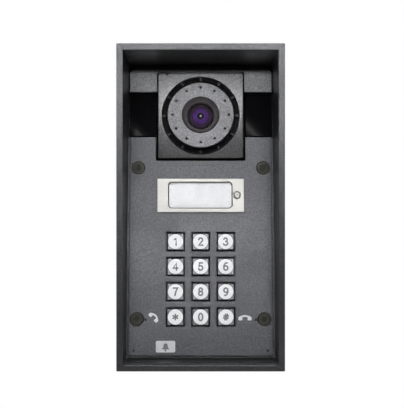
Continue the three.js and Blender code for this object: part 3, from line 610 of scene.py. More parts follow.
def ledge_mesh():
    bm = bmesh.new()
    low_end, high_end = PLATE_BOTTOM - 4, strip_box[1].y + 5
    lower, upper = LEDGE_TOP - LEDGE_DEPTH, UPPER_LEDGE_TOP - LEDGE_DEPTH
    for side in SIDES.values():
        x0, x1 = sorted((side * LEDGE_INNER, side * LEDGE_OUTER))
        add_brick(bm, x0, low_end, lower, x1, PLATE_TOP, LEDGE_TOP)
        add_brick(bm, x0, PLATE_TOP - 1, upper, x1, high_end, UPPER_LEDGE_TOP)
    add_brick(bm, -LEDGE_OUTER, low_end, lower, LEDGE_OUTER, PLATE_BOTTOM + 2.7, LEDGE_TOP)
    add_brick(bm, -LEDGE_OUTER, strip_box[1].y - 1.1, upper, LEDGE_OUTER, high_end, UPPER_LEDGE_TOP)
    return mesh_from(bm, "ledges", PANEL)


def pillar_mesh():
    bm = bmesh.new()
    to_wall = WALL.inverted() @ PANEL
    for place in SCREWS.values():
        foot = place.copy()
        foot.z = 0
        foot.z = -((to_wall @ foot).z - BACK_WALL / 2) / (to_wall.to_3x3() @ Vector((0, 0, 1))).z
        add_bar(bm, foot, (place.x, place.y, LEDGE_TOP), PILLAR_RADIUS, 32)
    return mesh_from(bm, "pillars", PANEL)


def standoff_mesh():
    bm = bmesh.new()
    board = local_box("main_board", WALL)
    for x in (-STANDOFF_X, STANDOFF_X):
        for z in (board[0].y + STANDOFF_INSET, board[1].y - STANDOFF_INSET):
            add_bar(bm, (x, z, BACK_WALL / 2), (x, z, board[0].z - 0.3), STANDOFF_RADIUS, 24)
    return mesh_from(bm, "standoffs", WALL)


piece("housing_ledges", ledge_mesh(), HOUSING_PAINT)
piece("housing_pillars", pillar_mesh(), HOUSING_PAINT)
piece("housing_standoffs", standoff_mesh(), HOUSING_PAINT)

# ---- Front plate and top strip

PLATE_BACK = -2.5
KEY_OPENING = 13.3
CALL_OVERLAP = 0.6
COUNTERSINK = 4.65
SHANK_ROOM = 2.2
PORT_RADIUS = 0.82
NOTCH_HALF = 30.7
NOTCH_BOTTOM = 32.6
PLATE_CORNER = 2.3
STRIP_CORNER = 2.5
STRIP_BRIDGE = 1.85
STRIP_SHARP_DEG = 2              # its carved face shades flat only with every edge kept sharp
WEEP = (44.9, -96.7)
# Black discs in the small ports: painted shade of the holes
PORT_SHADE_PROUD = 0.015
PORT_SHADE_DEPTH = 0.6

call_box = local_box("call_frame", PANEL)
key_places = {key: middle(local_box(f"key_lens_{key}", PANEL)) for key in KEYS}
microphone = middle(local_box("microphone_right", PANEL))


def front_plate_mesh():
    half = plate_box[1].x
    outer = [
        (-half, PLATE_BOTTOM, PLATE_CORNER), (half, PLATE_BOTTOM, PLATE_CORNER),
        (half, PLATE_TOP, 0.5), (NOTCH_HALF, PLATE_TOP, 0.5),
        (NOTCH_HALF, NOTCH_BOTTOM, 0.8), (-NOTCH_HALF, NOTCH_BOTTOM, 0.8),
        (-NOTCH_HALF, PLATE_TOP, 0.5), (-half, PLATE_TOP, 0.5),
    ]
    reach = KEY_OPENING / 2
    holes = [
        rectangle(p.x - reach, p.y - reach, p.x + reach, p.y + reach, 0.5) for p in key_places.values()
    ]
    holes.append(outline_of(call_box, 0.5, CALL_OVERLAP))
    for place in SCREWS.values():
        wide = COUNTERSINK - SHANK_ROOM
        levels = [(wide + 0.2, 0), (wide + 0.05, -0.06), (wide - 0.1, -0.2), (0.0, -wide - 0.1)]
        holes.append((circle(place.x, place.y, SHANK_ROOM, 40), levels + [(0.0, PLATE_BACK)]))
    for x, y in ((microphone.x, microphone.y), WEEP):
        for side in (-1, 1):
            levels = [(0.04, 0), (0, -0.05), (0, PLATE_BACK)]
            holes.append((circle(side * x, y, PORT_RADIUS, 16), levels))
    bm = bmesh.new()
    add_plate(bm, outer, 0, PLATE_BACK, holes, edge=0.45)
    return mesh_from(bm, "front_plate", PANEL)


def top_strip_mesh():
    half, low, high = strip_box[1].x, strip_box[0].y, strip_box[1].y
    notch, roof = NOTCH_HALF - 0.2, high - STRIP_BRIDGE
    outer = [(-half, low, 0.3), (half, low, 0.3), (half, high, STRIP_CORNER), (-half, high, STRIP_CORNER)]
    bm = bmesh.new()
    add_plate(bm, outer, 0, PLATE_BACK, edge=0.35)
    body = mesh_from(bm, "top_strip", PANEL)
    bm = bmesh.new()
    add_brick(bm, -notch, low - 1, PLATE_BACK - 1, notch, roof, 1, 0.3)
    return carve(body, [mesh_from(bm, "notch", PANEL)])


def port_shade_mesh():
    """Black discs, like acoustic gauze, that fill each small port level with the face of the plate: painted
    shade of the hole.
    """
    bm = bmesh.new()
    for x, y in ((microphone.x, microphone.y), WEEP):
        for side in (-1, 1):
            radius = PORT_RADIUS + 0.02
            profile = [(0, -PORT_SHADE_DEPTH), (radius, -PORT_SHADE_DEPTH), (radius, PORT_SHADE_PROUD), (0, PORT_SHADE_PROUD)]
            add_lathe(bm, profile, 20, (side * x, y))
    return mesh_from(bm, "port_shade_disc", PANEL)


# Painted shade in the small ports
piece("port_shade_disc", port_shade_mesh(), SKIRT_AND_SHADE_BLACK)
piece("front_plate_sheet", front_plate_mesh(), PLATE_PAINT, replaces=["front_plate"])
# The strip's coat carries painted light as well as its own paler tone
piece("top_strip_sheet", top_strip_mesh(), STRIP_TONE_AND_LIGHT, replaces=["top_strip"],
      smooth=STRIP_SHARP_DEG)

# ---- Light windows

for word in SIDES:
    pane = local_box(f"light_window_{word}", PANEL)
    bm = bmesh.new()
    add_plate(bm, outline_of(pane, 0.5), pane[1].z, pane[0].z, edge=0.5)
    piece(f"light_window_pane_{word}", mesh_from(bm, "window", PANEL), BLACK_WINDOW,
          replaces=[f"light_window_{word}"])

# ---- Panel screws: countersunk heads with a six-lobed socket and a security pin

HEAD_RADIUS = 4.05
SHANK_RADIUS = 1.9
SOCKET_DEPTH = 1.5
# Painted shade on each screw head: the plug darkens the socket round the pin, and the ring paints the shade
# of a groove round the head
SOCKET_SHADE_PLUG = (0.75, 1.5)         # inner and outer radius
SOCKET_SHADE_PLUG_HEIGHT = 1.32
HEAD_SHADE_RING = (2.5, 3.0)          # inner and outer radius
HEAD_SHADE_RING_PROUD = 0.01


def star(radius, depth, lobes=6, steps=48):
    """A socket outline with rounded lobes."""
    turns = [TAU * i / steps for i in range(steps)]
    return [((radius + depth * cos(lobes * a)) * cos(a), (radius + depth * cos(lobes * a)) * sin(a))
            for a in turns]


def screw_mesh(place, name):
    low, high = local_box(name, PANEL)
    face, foot = high.z, low.z
    bm = bmesh.new()
    steps = 48
    cone = HEAD_RADIUS - SHANK_RADIUS
    sides = [(HEAD_RADIUS - 0.35, face), (HEAD_RADIUS - 0.1, face - 0.08), (HEAD_RADIUS, face - 0.25),
             (SHANK_RADIUS, face - cone)]
    z = face - cone - 0.6
    while z > foot + 1.4:
        sides += [(SHANK_RADIUS, z), (SHANK_RADIUS - 0.35, z - 0.3), (SHANK_RADIUS, z - 0.6)]
        z -= 0.7
    sides += [(SHANK_RADIUS - 0.5, foot)]
    rings = [ring(bm, trace(circle(0, 0, radius, steps)), level) for radius, level in sides]
    loft(bm, rings)
    bm.faces.new(rings[-1])
    dish = ring(bm, trace(circle(0, 0, 2.7, steps)), face - 0.02)
    bridge(bm, rings[0], dish)
    socket = [ring(bm, star(1.85, 0.28), level) for level in (face - 0.1, face - SOCKET_DEPTH)]
    bridge(bm, dish, socket[0])
    bridge(bm, socket[0], socket[1])
    bm.faces.new(socket[1])
    add_lathe(bm, [(0, face - 0.3), (0.55, face - 0.3), (0.7, face - 0.45), (0.7, face - 1.6),
                   (0, face - 1.6)], 20)
    return mesh_from(bm, name, panel_at(place))


def screw_shade_marks(place, name):
    """Painted shade: a dark plug round the pin in the socket, and a thin dark ring that lies on the head
    and paints the shade of a groove.
    """
    face = local_box(name, PANEL)[1].z
    bm = bmesh.new()
    for (inner, outer), low, high, steps in (
        (SOCKET_SHADE_PLUG, face - SOCKET_DEPTH, face - SOCKET_DEPTH + SOCKET_SHADE_PLUG_HEIGHT, 32),
        (HEAD_SHADE_RING, face - 0.1, face + HEAD_SHADE_RING_PROUD, 48),
    ):
        add_lathe(bm, [(inner, low), (outer, low), (outer, high), (inner, high)], steps)
    return mesh_from(bm, f"{name}_painted_shade", panel_at(place))


# Each screw gets its fine shape and its painted shade
for name, place in SCREWS.items():
    piece(f"{name}_fine", screw_mesh(place, name), SCREW_STEEL, replaces=[name])
    piece(f"{name}_painted_shade", screw_shade_marks(place, name), SKIRT_AND_SHADE_BLACK)

# ---- Camera bezel: domed square face, ring edge, sound slot with twelve ribs, dark skirt

BEZEL_CORNER = 0.9
BEZEL_EDGE = 0.45
DOME = 1.4
DOME_RADIUS = 300
RING_RADIUS = 26.7
BORE_RADIUS = 26.4
RIB_COUNT = 12
RIB_WIDTH = 1.6
RIB_INNER = 23.9
HUB = (19.5, 22.9, -14, -9)      # inner and outer radius, back and front
SLOT_FLOOR = (23.3, 26.6, -4.4, -3.6)
SKIRT_FRONT = -13.5


def dome_height(x, y):
    return DOME - DOME_RADIUS + sqrt(DOME_RADIUS ** 2 - x * x - y * y)


def bezel_angles():
    turns = [TAU * i / 120 for i in range(120)]
    for quadrant in range(4):
        middle_turn = pi / 4 + quadrant * pi / 2
        turns += [middle_turn + side * radians(d) for side in (-1, 1) for d in (0.35, 0.7, 1.05)]
    return sorted(turns)


def square_point(turn, half, corner):
    """Where a ray at an angle meets a square with rounded corners."""
    reach = half / max(abs(cos(turn)), abs(sin(turn)))
    x, y = reach * cos(turn), reach * sin(turn)
    core = half - corner
    near = Vector((min(max(x, -core), core), min(max(y, -core), core)))
    away = Vector((x, y)) - near
    if away.length > 1e-9:
        near += away.normalized() * corner
    return near.x, near.y


def bezel_mesh():
    bm = bmesh.new()
    turns = bezel_angles()
    bore = [(BORE_RADIUS, -BEZEL_LENGTH), (BORE_RADIUS - 0.2, -3.5), (BORE_RADIUS - 0.2, -2.2),
            (BORE_RADIUS - 0.1, -1.9), (RING_RADIUS + 0.1, -0.15), (RING_RADIUS + 0.2, -0.02),
            (RING_RADIUS + 0.35, None)]
    rings = []
    for radius, z in bore:
        points = [(radius * cos(a), radius * sin(a)) for a in turns]
        rings.append([bm.verts.new((x, y, dome_height(x, y) if z is None else z)) for x, y in points])
    inner = [RING_RADIUS + 0.35] * len(turns)
    rim = [square_point(a, BEZEL_HALF - BEZEL_EDGE, BEZEL_CORNER) for a in turns]
    for share in (0.06, 0.2, 0.4, 0.6, 0.8, 1.0):
        loop = []
        for a, start, (x, y) in zip(turns, inner, rim):
            radius = start + (hypot(x, y) - start) * share
            px, py = radius * cos(atan2(y, x)), radius * sin(atan2(y, x))
            loop.append(bm.verts.new((px, py, dome_height(px, py))))
        rings.append(loop)
    for inset, drop in quarter(BEZEL_EDGE)[1:]:
        loop = []
        for a in turns:
            x, y = square_point(a, BEZEL_HALF - inset, BEZEL_CORNER)
            loop.append(bm.verts.new((x, y, dome_height(x, y) - drop)))
        rings.append(loop)
    rings.append([bm.verts.new((*square_point(a, BEZEL_HALF, BEZEL_CORNER), -BEZEL_LENGTH)) for a in turns])
    loft(bm, rings)
    bridge(bm, rings[-1], rings[0])
    return mesh_from(bm, "bezel", BEZEL)


def slot_mesh():
    """The hub behind the disc and the ribs that carry it across the slot."""
    bm = bmesh.new()
    inner, outer, back, front = HUB
    profile = [(inner, back), (outer, back), (outer, front - 0.2), (outer - 0.2, front), (inner, front)]
    add_lathe(bm, profile, 96)
    for index in range(RIB_COUNT):
        turn = Matrix.Rotation(index * TAU / RIB_COUNT, 3, "Z")
        half = RIB_WIDTH / 2
        add_brick(bm, RIB_INNER, -half, back, BORE_RADIUS + 0.5, half, -1, 0.3, 3, turn)
        add_brick(bm, outer - 1, -half, back, BORE_RADIUS + 0.5, half, front, 0.2, 2, turn)
    return mesh_from(bm, "slot", BEZEL)


def slot_floor_mesh():
    bm = bmesh.new()
    inner, outer, back, front = SLOT_FLOOR
    add_lathe(bm, [(inner, back), (outer, back), (outer, front), (inner, front)], 96)
    return mesh_from(bm, "slot_floor", BEZEL)


def skirt_mesh():
    bm = bmesh.new()
    low, high = local_box("camera_bezel", BEZEL)
    outer = rectangle(low.x, low.y, high.x, BEZEL_HALF, 0.5)
    core = BEZEL_HALF - 0.4
    add_plate(bm, outer, SKIRT_FRONT, -BEZEL_LENGTH, [rectangle(-core, -core, core, core, 0.5)],
              edge=0.3, hole_edge=0.05)
    return mesh_from(bm, "skirt", BEZEL)


piece("camera_bezel_face", bezel_mesh(), BEZEL_PAINT, replaces=["camera_bezel"])
piece("camera_slot_ribs", slot_mesh(), RIB_PAINT)
piece("camera_slot_mesh", slot_floor_mesh(), SLOT_GREY)
piece("camera_skirt", skirt_mesh(), SKIRT_AND_SHADE_BLACK)

# ---- Camera disc with its ring of pinholes

DISC_RADIUS = 23
DISC_RIM = 3.0
DISC_DISH = 0.065
DISC_BACK = -0.5
SLEEVE_BORE = 12.7
SLEEVE_OUTER = 14.3
PINHOLE_CIRCLE = 19.3
PINHOLE_RADIUS = 0.75


def dish(radius):
    """Height of the disc's face, which falls towards the lens."""
    return DISC_RIM - DISC_DISH * (DISC_RADIUS - radius)


def disc_mesh():
    bm = bmesh.new()
    face = [22.3, 21.4, 20.4, 19.8, 19.3, 18.8, 18.2, 17, 15.6, 14.2, 13.2]
    edge = 0.45
    profile = [(SLEEVE_BORE, SLEEVE_BACK), (SLEEVE_OUTER, SLEEVE_BACK), (SLEEVE_OUTER, DISC_BACK)]
    profile += [(DISC_RADIUS - 0.2, DISC_BACK), (DISC_RADIUS, DISC_BACK + 0.2)]
    profile += [(DISC_RADIUS - inset, dish(DISC_RADIUS - edge) - drop)
                for inset, drop in reversed(quarter(edge))]
    profile += [(radius, dish(radius)) for radius in face]
    profile += [(SLEEVE_BORE + 0.25, dish(SLEEVE_BORE + 0.25) - 0.02),
                (SLEEVE_BORE + 0.05, dish(SLEEVE_BORE) - 0.12), (SLEEVE_BORE, dish(SLEEVE_BORE) - 0.4)]
    add_lathe(bm, profile, 144)
    body = mesh_from(bm, "disc", LENS)
    cutters = []
    for index in range(RIB_COUNT):
        turn = index * TAU / RIB_COUNT
        bm = bmesh.new()
        x, y = PINHOLE_CIRCLE * cos(turn), PINHOLE_CIRCLE * sin(turn)
        face_level = dish(PINHOLE_CIRCLE)
        profile = [(0, DISC_BACK - 1), (PINHOLE_RADIUS, DISC_BACK - 1), (PINHOLE_RADIUS, face_level - 0.12),
                   (PINHOLE_RADIUS + 0.5, face_level + 0.38), (0, face_level + 0.38)]
        add_lathe(bm, profile, 20, (x, y))
        cutters.append(mesh_from(bm, "pinhole", LENS))
    return carve(body, cutters)


piece("camera_disc_face", disc_mesh(), DISC_PAINT, replaces=["camera_disc"])

# ---- Lens: stepped funnel, retaining ring, front glass, and thin coloured rings that lie on the glass

BARREL_RADIUS = 12.4
BARREL_BACK = -9.5
LENS_RADIUS = 8.9
LENS_CURVE = 14
LENS_TOP = -1


def lens_rise(radius):
    return sqrt(LENS_CURVE ** 2 - radius ** 2) - LENS_CURVE + LENS_TOP


def barrel_mesh():
    bm = bmesh.new()
    steps = [(12.15, 2.85), (11.95, 2.75), (11.6, 2.2), (11.45, 1.75), (11.35, 1.65), (11.05, 1.6),
             (10.95, 1.5), (10.85, 0.85), (10.75, 0.75), (10.45, 0.7), (10.35, 0.6), (10.3, -0.3),
             (10.2, -0.4), (9.95, -0.42), (9.8, -0.6), (9.25, -1.3), (9.2, -5.5), (4, -5.5),
             (4, BARREL_BACK), (BARREL_RADIUS, BARREL_BACK), (BARREL_RADIUS, 2.6), (12.33, 2.78)]
    add_lathe(bm, steps, 96)
    return mesh_from(bm, "barrel", LENS)


def retaining_ring_mesh():
    bm = bmesh.new()
    profile = [(8.1, -4.6), (8.15, -3.4), (8.3, -3.25), (8.45, -3.4), (8.5, -4.6)]
    add_lathe(bm, profile, 96)
    return mesh_from(bm, "retaining_ring", LENS)


def zone_mesh(inner, outer, raised, steps=6):
    """A thin coloured ring or spot lying on the front glass."""
    bm = bmesh.new()
    radii = [outer + (inner - outer) * i / steps for i in range(steps + 1)]
    profile = [(inner, lens_rise(inner) - 0.1), (outer, lens_rise(outer) - 0.1)]
    add_lathe(bm, profile + [(radius, lens_rise(radius) + raised) for radius in radii], 72)
    return mesh_from(bm, "zone", LENS)


def lens_mesh():
    bm = bmesh.new()
    radii = [LENS_RADIUS * i / 10 for i in range(10, -1, -1)]
    profile = [(0, -5.2), (LENS_RADIUS, -5.2), (LENS_RADIUS, lens_rise(LENS_RADIUS) - 0.3)]
    add_lathe(bm, profile + [(radius, lens_rise(radius)) for radius in radii], 96)
    return mesh_from(bm, "lens", LENS)


piece("lens_barrel_steps", barrel_mesh(), BARREL_BLACK, replaces=["lens_barrel"])
piece("lens_retaining_ring", retaining_ring_mesh(), CALL_SCREW_STEEL)
piece("lens_dome", lens_mesh(), LENS_COATING, replaces=["lens_glass"])

# Name, inner and outer radius, height above the glass, material
LENS_ZONES = (
    ("mauve_outer", 5.9, 7.7, 0.02, LENS_MAUVE),
    ("violet_outer", 4.2, 5.5, 0.02, LENS_VIOLET),
    ("violet_inner", 2.6, 4.0, 0.02, LENS_VIOLET),
    ("core", 0.0, 2.2, 0.02, LENS_CORE),
    ("glint", 0.0, 0.7, 0.05, LENS_GLINT),
)
for name, inner, outer, raised, material in LENS_ZONES:
    piece(f"lens_zone_{name}", zone_mesh(inner, outer, raised), material)

# ---- Keys: pressed metal caps round white lenses with printed digits

KEY_SIDE = 12.5
KEY_FACE = 10.5
KEY_SHOULDER = -0.9
KEY_HEIGHT = 0.6
KEY_LENS_RADIUS = 5.1
KEY_LENS_PROUD = 0.5
KEY_FLANGE = 14.6
FLANGE_FRONT = -2.9
FLANGE_BACK = -4.4
STEM_RADIUS = 2.2
STEM_END = -8
DIGIT_HEIGHT = 5.9


def square(side, corner):
    half = side / 2
    return rectangle(-half, -half, half, half, corner)


def key_cap_mesh(key, place):
    bm = bmesh.new()
    outline = [
        (FLANGE_BACK + 0.5, KEY_SIDE, 0.4), (KEY_SHOULDER - 0.15, KEY_SIDE, 0.5),
        (KEY_SHOULDER, KEY_SIDE - 0.12, 0.45), (KEY_HEIGHT - 0.06, KEY_FACE + 0.1, 0.35),
        (KEY_HEIGHT, KEY_FACE - 0.1, 0.35),
    ]
    rings = [ring(bm, trace(square(side, corner)), z) for z, side, corner in outline]
    loft(bm, rings)
    bm.faces.new(rings[-1])
    bm.faces.new(rings[0])
    add_brick(bm, -KEY_FLANGE / 2, -KEY_FLANGE / 2, FLANGE_BACK, KEY_FLANGE / 2, KEY_FLANGE / 2,
              FLANGE_FRONT, 0.3)
    add_lathe(bm, [(0, FLANGE_BACK + 0.2), (STEM_RADIUS, FLANGE_BACK + 0.2), (STEM_RADIUS, STEM_END + 0.3),
                   (STEM_RADIUS - 0.3, STEM_END), (0, STEM_END)], 24)
    return mesh_from(bm, f"cap_{key}", panel_at(place))


def key_lens_mesh(key, place):
    bm = bmesh.new()
    top = KEY_HEIGHT + KEY_LENS_PROUD
    edge = [(KEY_LENS_RADIUS - inset, top - 0.08 - drop) for inset, drop in reversed(quarter(0.3))]
    face = [(4.2, top - 0.04), (3, top - 0.02), (1.5, top - 0.002), (0, top)]
    add_lathe(bm, [(0, KEY_SHOULDER), (KEY_LENS_RADIUS, KEY_SHOULDER)] + edge + face, 48)
    return mesh_from(bm, f"lens_{key}", panel_at(place))


def arc(cx, cy, rx, ry, start, end, steps=14):
    """Points of an elliptical arc between two angles in degrees."""
    turns = [radians(start + (end - start) * i / steps) for i in range(steps + 1)]
    return [(cx + rx * cos(a), cy + ry * sin(a)) for a in turns]


def oval(cx, cy, rx, ry, steps=20):
    """A closed stroke, which ends in None."""
    return arc(cx, cy, rx, ry, 0, 345, steps) + [None]


# Plain signs as strokes in a box 0.62 wide and 1 high
SIGNS = {
    "0": [oval(0.31, 0.5, 0.27, 0.5, 22)],
    "1": [[(0.14, 0.76), (0.30, 0.86), (0.38, 1.0), (0.38, 0.0)]],
    "2": [arc(0.31, 0.73, 0.26, 0.27, 170, -38) + [(0.06, 0.0), (0.60, 0.0)]],
    "3": [arc(0.29, 0.75, 0.23, 0.25, 160, -80), arc(0.29, 0.27, 0.28, 0.27, 82, -160)],
    "4": [[(0.44, 0.0), (0.44, 1.0), (0.0, 0.28), (0.62, 0.28)]],
    "5": [[(0.55, 1.0), (0.15, 1.0), (0.08, 0.52)] + arc(0.30, 0.31, 0.28, 0.31, 122, -160)],
    "6": [oval(0.31, 0.30, 0.27, 0.30), arc(0.44, 0.42, 0.40, 0.58, 82, 172, 10)],
    "7": [[(0.03, 1.0), (0.60, 1.0), (0.38, 0.55), (0.25, 0.0)]],
    "8": [oval(0.31, 0.76, 0.22, 0.24, 18), oval(0.31, 0.27, 0.27, 0.27)],
    "9": [oval(0.31, 0.70, 0.27, 0.30), arc(0.18, 0.58, 0.40, 0.58, -98, -8, 10)],
    "star": [[(0.31 - 0.36 * cos(a), 0.5 - 0.36 * sin(a)), (0.31 + 0.36 * cos(a), 0.5 + 0.36 * sin(a))]
             for a in (pi / 2, pi / 6, -pi / 6)],
    "hash": [[(0.16, 0.12), (0.26, 0.88)], [(0.40, 0.12), (0.50, 0.88)], [(0.02, 0.64), (0.64, 0.64)],
             [(-0.02, 0.36), (0.60, 0.36)]],
}
SIGN_MIDDLE = (0.31, 0.5)
STROKE = 1.02                    # width of a stroke in millimetres


def add_stroke(bm, points, width, level, closed):
    """A raised print along a line, with mitred corners and round ends."""
    count = len(points)
    half = width / 2
    line = [Vector(p) for p in points]
    sides = []
    for i in range(count):
        before = line[i - 1] if i > 0 or closed else None
        after = line[(i + 1) % count] if i < count - 1 or closed else None
        d1 = (line[i] - before).normalized() if before is not None else (after - line[i]).normalized()
        d2 = (after - line[i]).normalized() if after is not None else d1
        n1, n2 = Vector((-d1.y, d1.x)), Vector((-d2.y, d2.x))
        offset = (n1 + n2) / max(1 + n1.dot(n2), 0.6) * half
        sides.append((line[i] + offset, line[i] - offset))
    tops = [[bm.verts.new((p.x, p.y, level)) for p in pair] for pair in sides]
    pairs = list(zip(tops, tops[1:]))
    if closed:
        pairs.append((tops[-1], tops[0]))
    for one, two in pairs:
        bm.faces.new((one[0], one[1], two[1], two[0]))
    if closed:
        return
    for pair, centre in ((tops[0], line[0]), (tops[-1][::-1], line[-1])):
        start = pair[0].co.to_2d() - centre
        bend = [centre + Matrix.Rotation(pi * i / 6, 2) @ start for i in range(1, 6)]
        bm.faces.new([pair[0]] + [bm.verts.new((p.x, p.y, level)) for p in bend] + [pair[1]])


def sign_mesh(key, place, level):
    """One printed sign on a key's lens: raised strokes with a little thickness."""
    bm = bmesh.new()
    scale = DIGIT_HEIGHT - STROKE
    for layer, stroke in enumerate(SIGNS[key]):
        closed = stroke[-1] is None
        line = stroke[:-1] if closed else stroke
        points = [((x - SIGN_MIDDLE[0]) * scale, (y - SIGN_MIDDLE[1]) * scale) for x, y in line]
        add_stroke(bm, points, STROKE, level + 0.002 * layer, closed)
    made = bmesh.ops.extrude_face_region(bm, geom=bm.faces[:])
    for item in made["geom"]:
        if isinstance(item, bmesh.types.BMVert):
            item.co.z = level - 0.06
    return mesh_from(bm, f"sign_{key}", panel_at(place))


for key, place in key_places.items():
    body = f"key_{key}"
    piece(f"key_cap_metal_{key}", key_cap_mesh(key, place), KEY_METAL, body,
          [f"key_cap_{key}"], 30)
    piece(f"key_lens_white_{key}", key_lens_mesh(key, place), KEY_WHITE, body,
          [f"key_lens_{key}"])
    digit = sign_mesh(key, place, KEY_HEIGHT + KEY_LENS_PROUD + 0.02)
    piece(f"key_digit_{key}", digit, DIGIT_INK, body)

# ---- Call button: steel name plate with a window over a label card, one screw, black base

cover_box = local_box("call_cover", PANEL)
label_box = local_box("call_label", PANEL)
call_screw_box = local_box("call_screw", PANEL)
call_screw = middle(call_screw_box)
WINDOW_LIP = 0.5
SEAL_INSET = 0.95
WINDOW_CORNER = 2.4
CALL_SCREW_RADIUS = 2.5


def call_frame_mesh():
    low, high = call_box
    bm = bmesh.new()
    window = outline_of(cover_box, WINDOW_CORNER, WINDOW_LIP)
    seat_levels = [(1.3, high.z), (1.12, high.z - 0.06), (1.1, high.z - 0.6), (0, high.z - 0.6), (0, low.z)]
    holes = [(window, [(0.3, high.z), (0.2, high.z - 0.04), (0.0, high.z - 0.3), (0, high.z - 0.6),
                       (0.75, high.z - 0.62), (0.8, low.z)]),
             (circle(call_screw.x, call_screw.y, 1.8, 40), seat_levels)]
    add_plate(bm, outline_of(call_box, 0.6), high.z, low.z, holes, edge=0.3)
    return mesh_from(bm, "call_frame", PANEL)


def thin_plate(box, corner, edge):
    bm = bmesh.new()
    add_plate(bm, outline_of(box, corner), box[1].z, box[0].z, edge=edge, back_edge=0.05)
    return mesh_from(bm, "thin_plate", PANEL)


def call_screw_mesh():
    low, high = call_screw_box
    bm = bmesh.new()
    steps = 48
    head = high.z
    sides = [(1.55, head), (1.9, head - 0.05), (2.25, head - 0.2), (2.45, head - 0.45),
             (CALL_SCREW_RADIUS, head - 0.6), (CALL_SCREW_RADIUS, head - 0.9), (1.4, head - 0.9),
             (1.4, low.z)]
    rings = [ring(bm, trace(circle(0, 0, radius, steps)), z) for radius, z in sides]
    loft(bm, rings)
    bm.faces.new(rings[-1])
    socket = [ring(bm, star(1.1, 0.17), z) for z in (head - 0.02, head - 0.7)]
    bridge(bm, rings[0], socket[0])
    bridge(bm, socket[0], socket[1])
    bm.faces.new(socket[1])
    return mesh_from(bm, "call_screw", panel_at(call_screw))


def window_seal_mesh():
    """Thin black line between the steel frame and the clear cover."""
    face = cover_box[1].z
    bm = bmesh.new()
    outer = outline_of(cover_box, WINDOW_CORNER, WINDOW_LIP)
    inner = outline_of(cover_box, WINDOW_CORNER - 0.3, SEAL_INSET)
    add_plate(bm, outer, face + 0.12, face + 0.01, [inner], edge=0.03, hole_edge=0.03)
    return mesh_from(bm, "window_seal", PANEL)


piece("call_frame_steel", call_frame_mesh(), CALL_STEEL, "call_button", ["call_frame"])
piece("call_window_seal", window_seal_mesh(), SLOT_GREY, "call_button")
piece("call_cover_clear", thin_plate(cover_box, 0.8, 0.1), CLEAR_COVER, "call_button",
      ["call_cover"])
piece("call_label_card", thin_plate(label_box, 0.8, 0.05), LABEL_CARD, "call_button",
      ["call_label"])
piece("call_screw_head", call_screw_mesh(), CALL_SCREW_STEEL, "call_button", ["call_screw"])

# ---- Prints on the plate: pick-up and hang-up handsets, and a plain badge with a bell

PRINT_LEVEL = 0.03


def add_print(bm, points, level=PRINT_LEVEL):
    loops = [ring(bm, points, z) for z in (level, level - 0.05)]
    bridge(bm, loops[0], loops[1])
    bm.faces.new(loops[0])
    bm.faces.new(loops[1])


def handset_points(span, rise, grip, ear, steps=16):
    """A telephone handset as one closed outline: an arched grip between two ear pieces."""
    half = span / 2
    top = [(-half + span * i / steps, rise * sin(pi * i / steps)) for i in range(steps + 1)]
    inner_half = half - ear
    bottom = [(inner_half - 2 * inner_half * i / steps,
               -grip + (rise - 0.2) * sin(pi * (ear + 2 * inner_half * i / steps) / span))
              for i in range(steps + 1)]
    drop = -grip - 1.15
    right_ear = [(half + 0.15, -0.7), (half + 0.05, drop + 0.3), (half - 0.35, drop),
                 (inner_half + 0.2, drop), (inner_half - 0.1, drop + 0.35)]
    left_ear = [(-x, y) for x, y in reversed(right_ear)]
    return top + right_ear + bottom + left_ear


def turned(points, angle, x, y, scale=1.0):
    c, s = cos(radians(angle)) * scale, sin(radians(angle)) * scale
    return [(x + c * px - s * py, y + s * px + c * py) for px, py in points]


PICK_UP = (-31.1, -74.2)
HANG_UP = (29.8, -74.4)
BADGE = (-23.5, -94.1)
BADGE_SIZE = (13, 7.7)


def bell_points(steps=12):
    dome = [(1.15 * cos(a), 0.6 + 1.15 * sin(a)) for a in (pi * i / steps for i in range(steps + 1))]
    return [(1.9, -1.5), (1.9, -1.2), (1.35, -0.6)] + dome + [(-1.35, -0.6), (-1.9, -1.2), (-1.9, -1.5)]


def prints_mesh():
    bm = bmesh.new()
    add_print(bm, turned(handset_points(7.6, 1.6, 1.0, 2.3), -45, *PICK_UP))
    add_print(bm, turned(handset_points(8.6, 1.3, 1.1, 2.5), 0, *HANG_UP))
    half_w, half_h = BADGE_SIZE[0] / 2, BADGE_SIZE[1] / 2
    add_print(bm, trace(rectangle(BADGE[0] - half_w, BADGE[1] - half_h, BADGE[0] + half_w,
                                  BADGE[1] + half_h, 1.0)))
    return mesh_from(bm, "prints", PANEL)


def bell_mesh():
    bm = bmesh.new()
    add_print(bm, turned(bell_points(), 0, *BADGE, 1.25), PRINT_LEVEL * 2)
    add_print(bm, turned(trace(circle(0, -2.1, 0.55, 16)), 0, *BADGE, 1.25), PRINT_LEVEL * 2)
    return mesh_from(bm, "bell", PANEL)


piece("plate_prints", prints_mesh(), WHITE_INK)
piece("badge_bell", bell_mesh(), DIGIT_INK)

# ---- CAD nodes that keep their shape

KEPT = {
    "cable_grommet": RUBBER, "plate_gasket": RUBBER, "key_mat": RUBBER,
    "light_tray_left": BLACK_PLASTIC, "light_tray_right": BLACK_PLASTIC, "call_base": BLACK_PLASTIC,
    "light_board_left": BOARD_GREEN, "light_board_right": BOARD_GREEN, "camera_lamp_ring": BOARD_BLACK,
    "camera_board": BOARD_BLACK, "keypad_board": BOARD_GREEN, "main_board": BOARD_GREEN,
    "speaker_basket": SPEAKER_METAL, "speaker_cone": CONE_PAPER, "speaker_magnet": MAGNET_PLATE,
    "microphone_left": MICROPHONE_CAN, "microphone_right": MICROPHONE_CAN,
    "terminal_block": TERMINAL_GREEN, "network_socket": SOCKET_SHELL,
}
for node, material in KEPT.items():
    for slot in frame["nodes"][node].material_slots:
        slot.material = material

# ---- Floor, light and camera


FLOOR_REACH = 0.9
FLOOR_LEVEL = -0.42
WORLD_LOW = 0.01                 # strength of the world's light from below
WORLD_HIGH = 0.22                # strength of the world's light from above


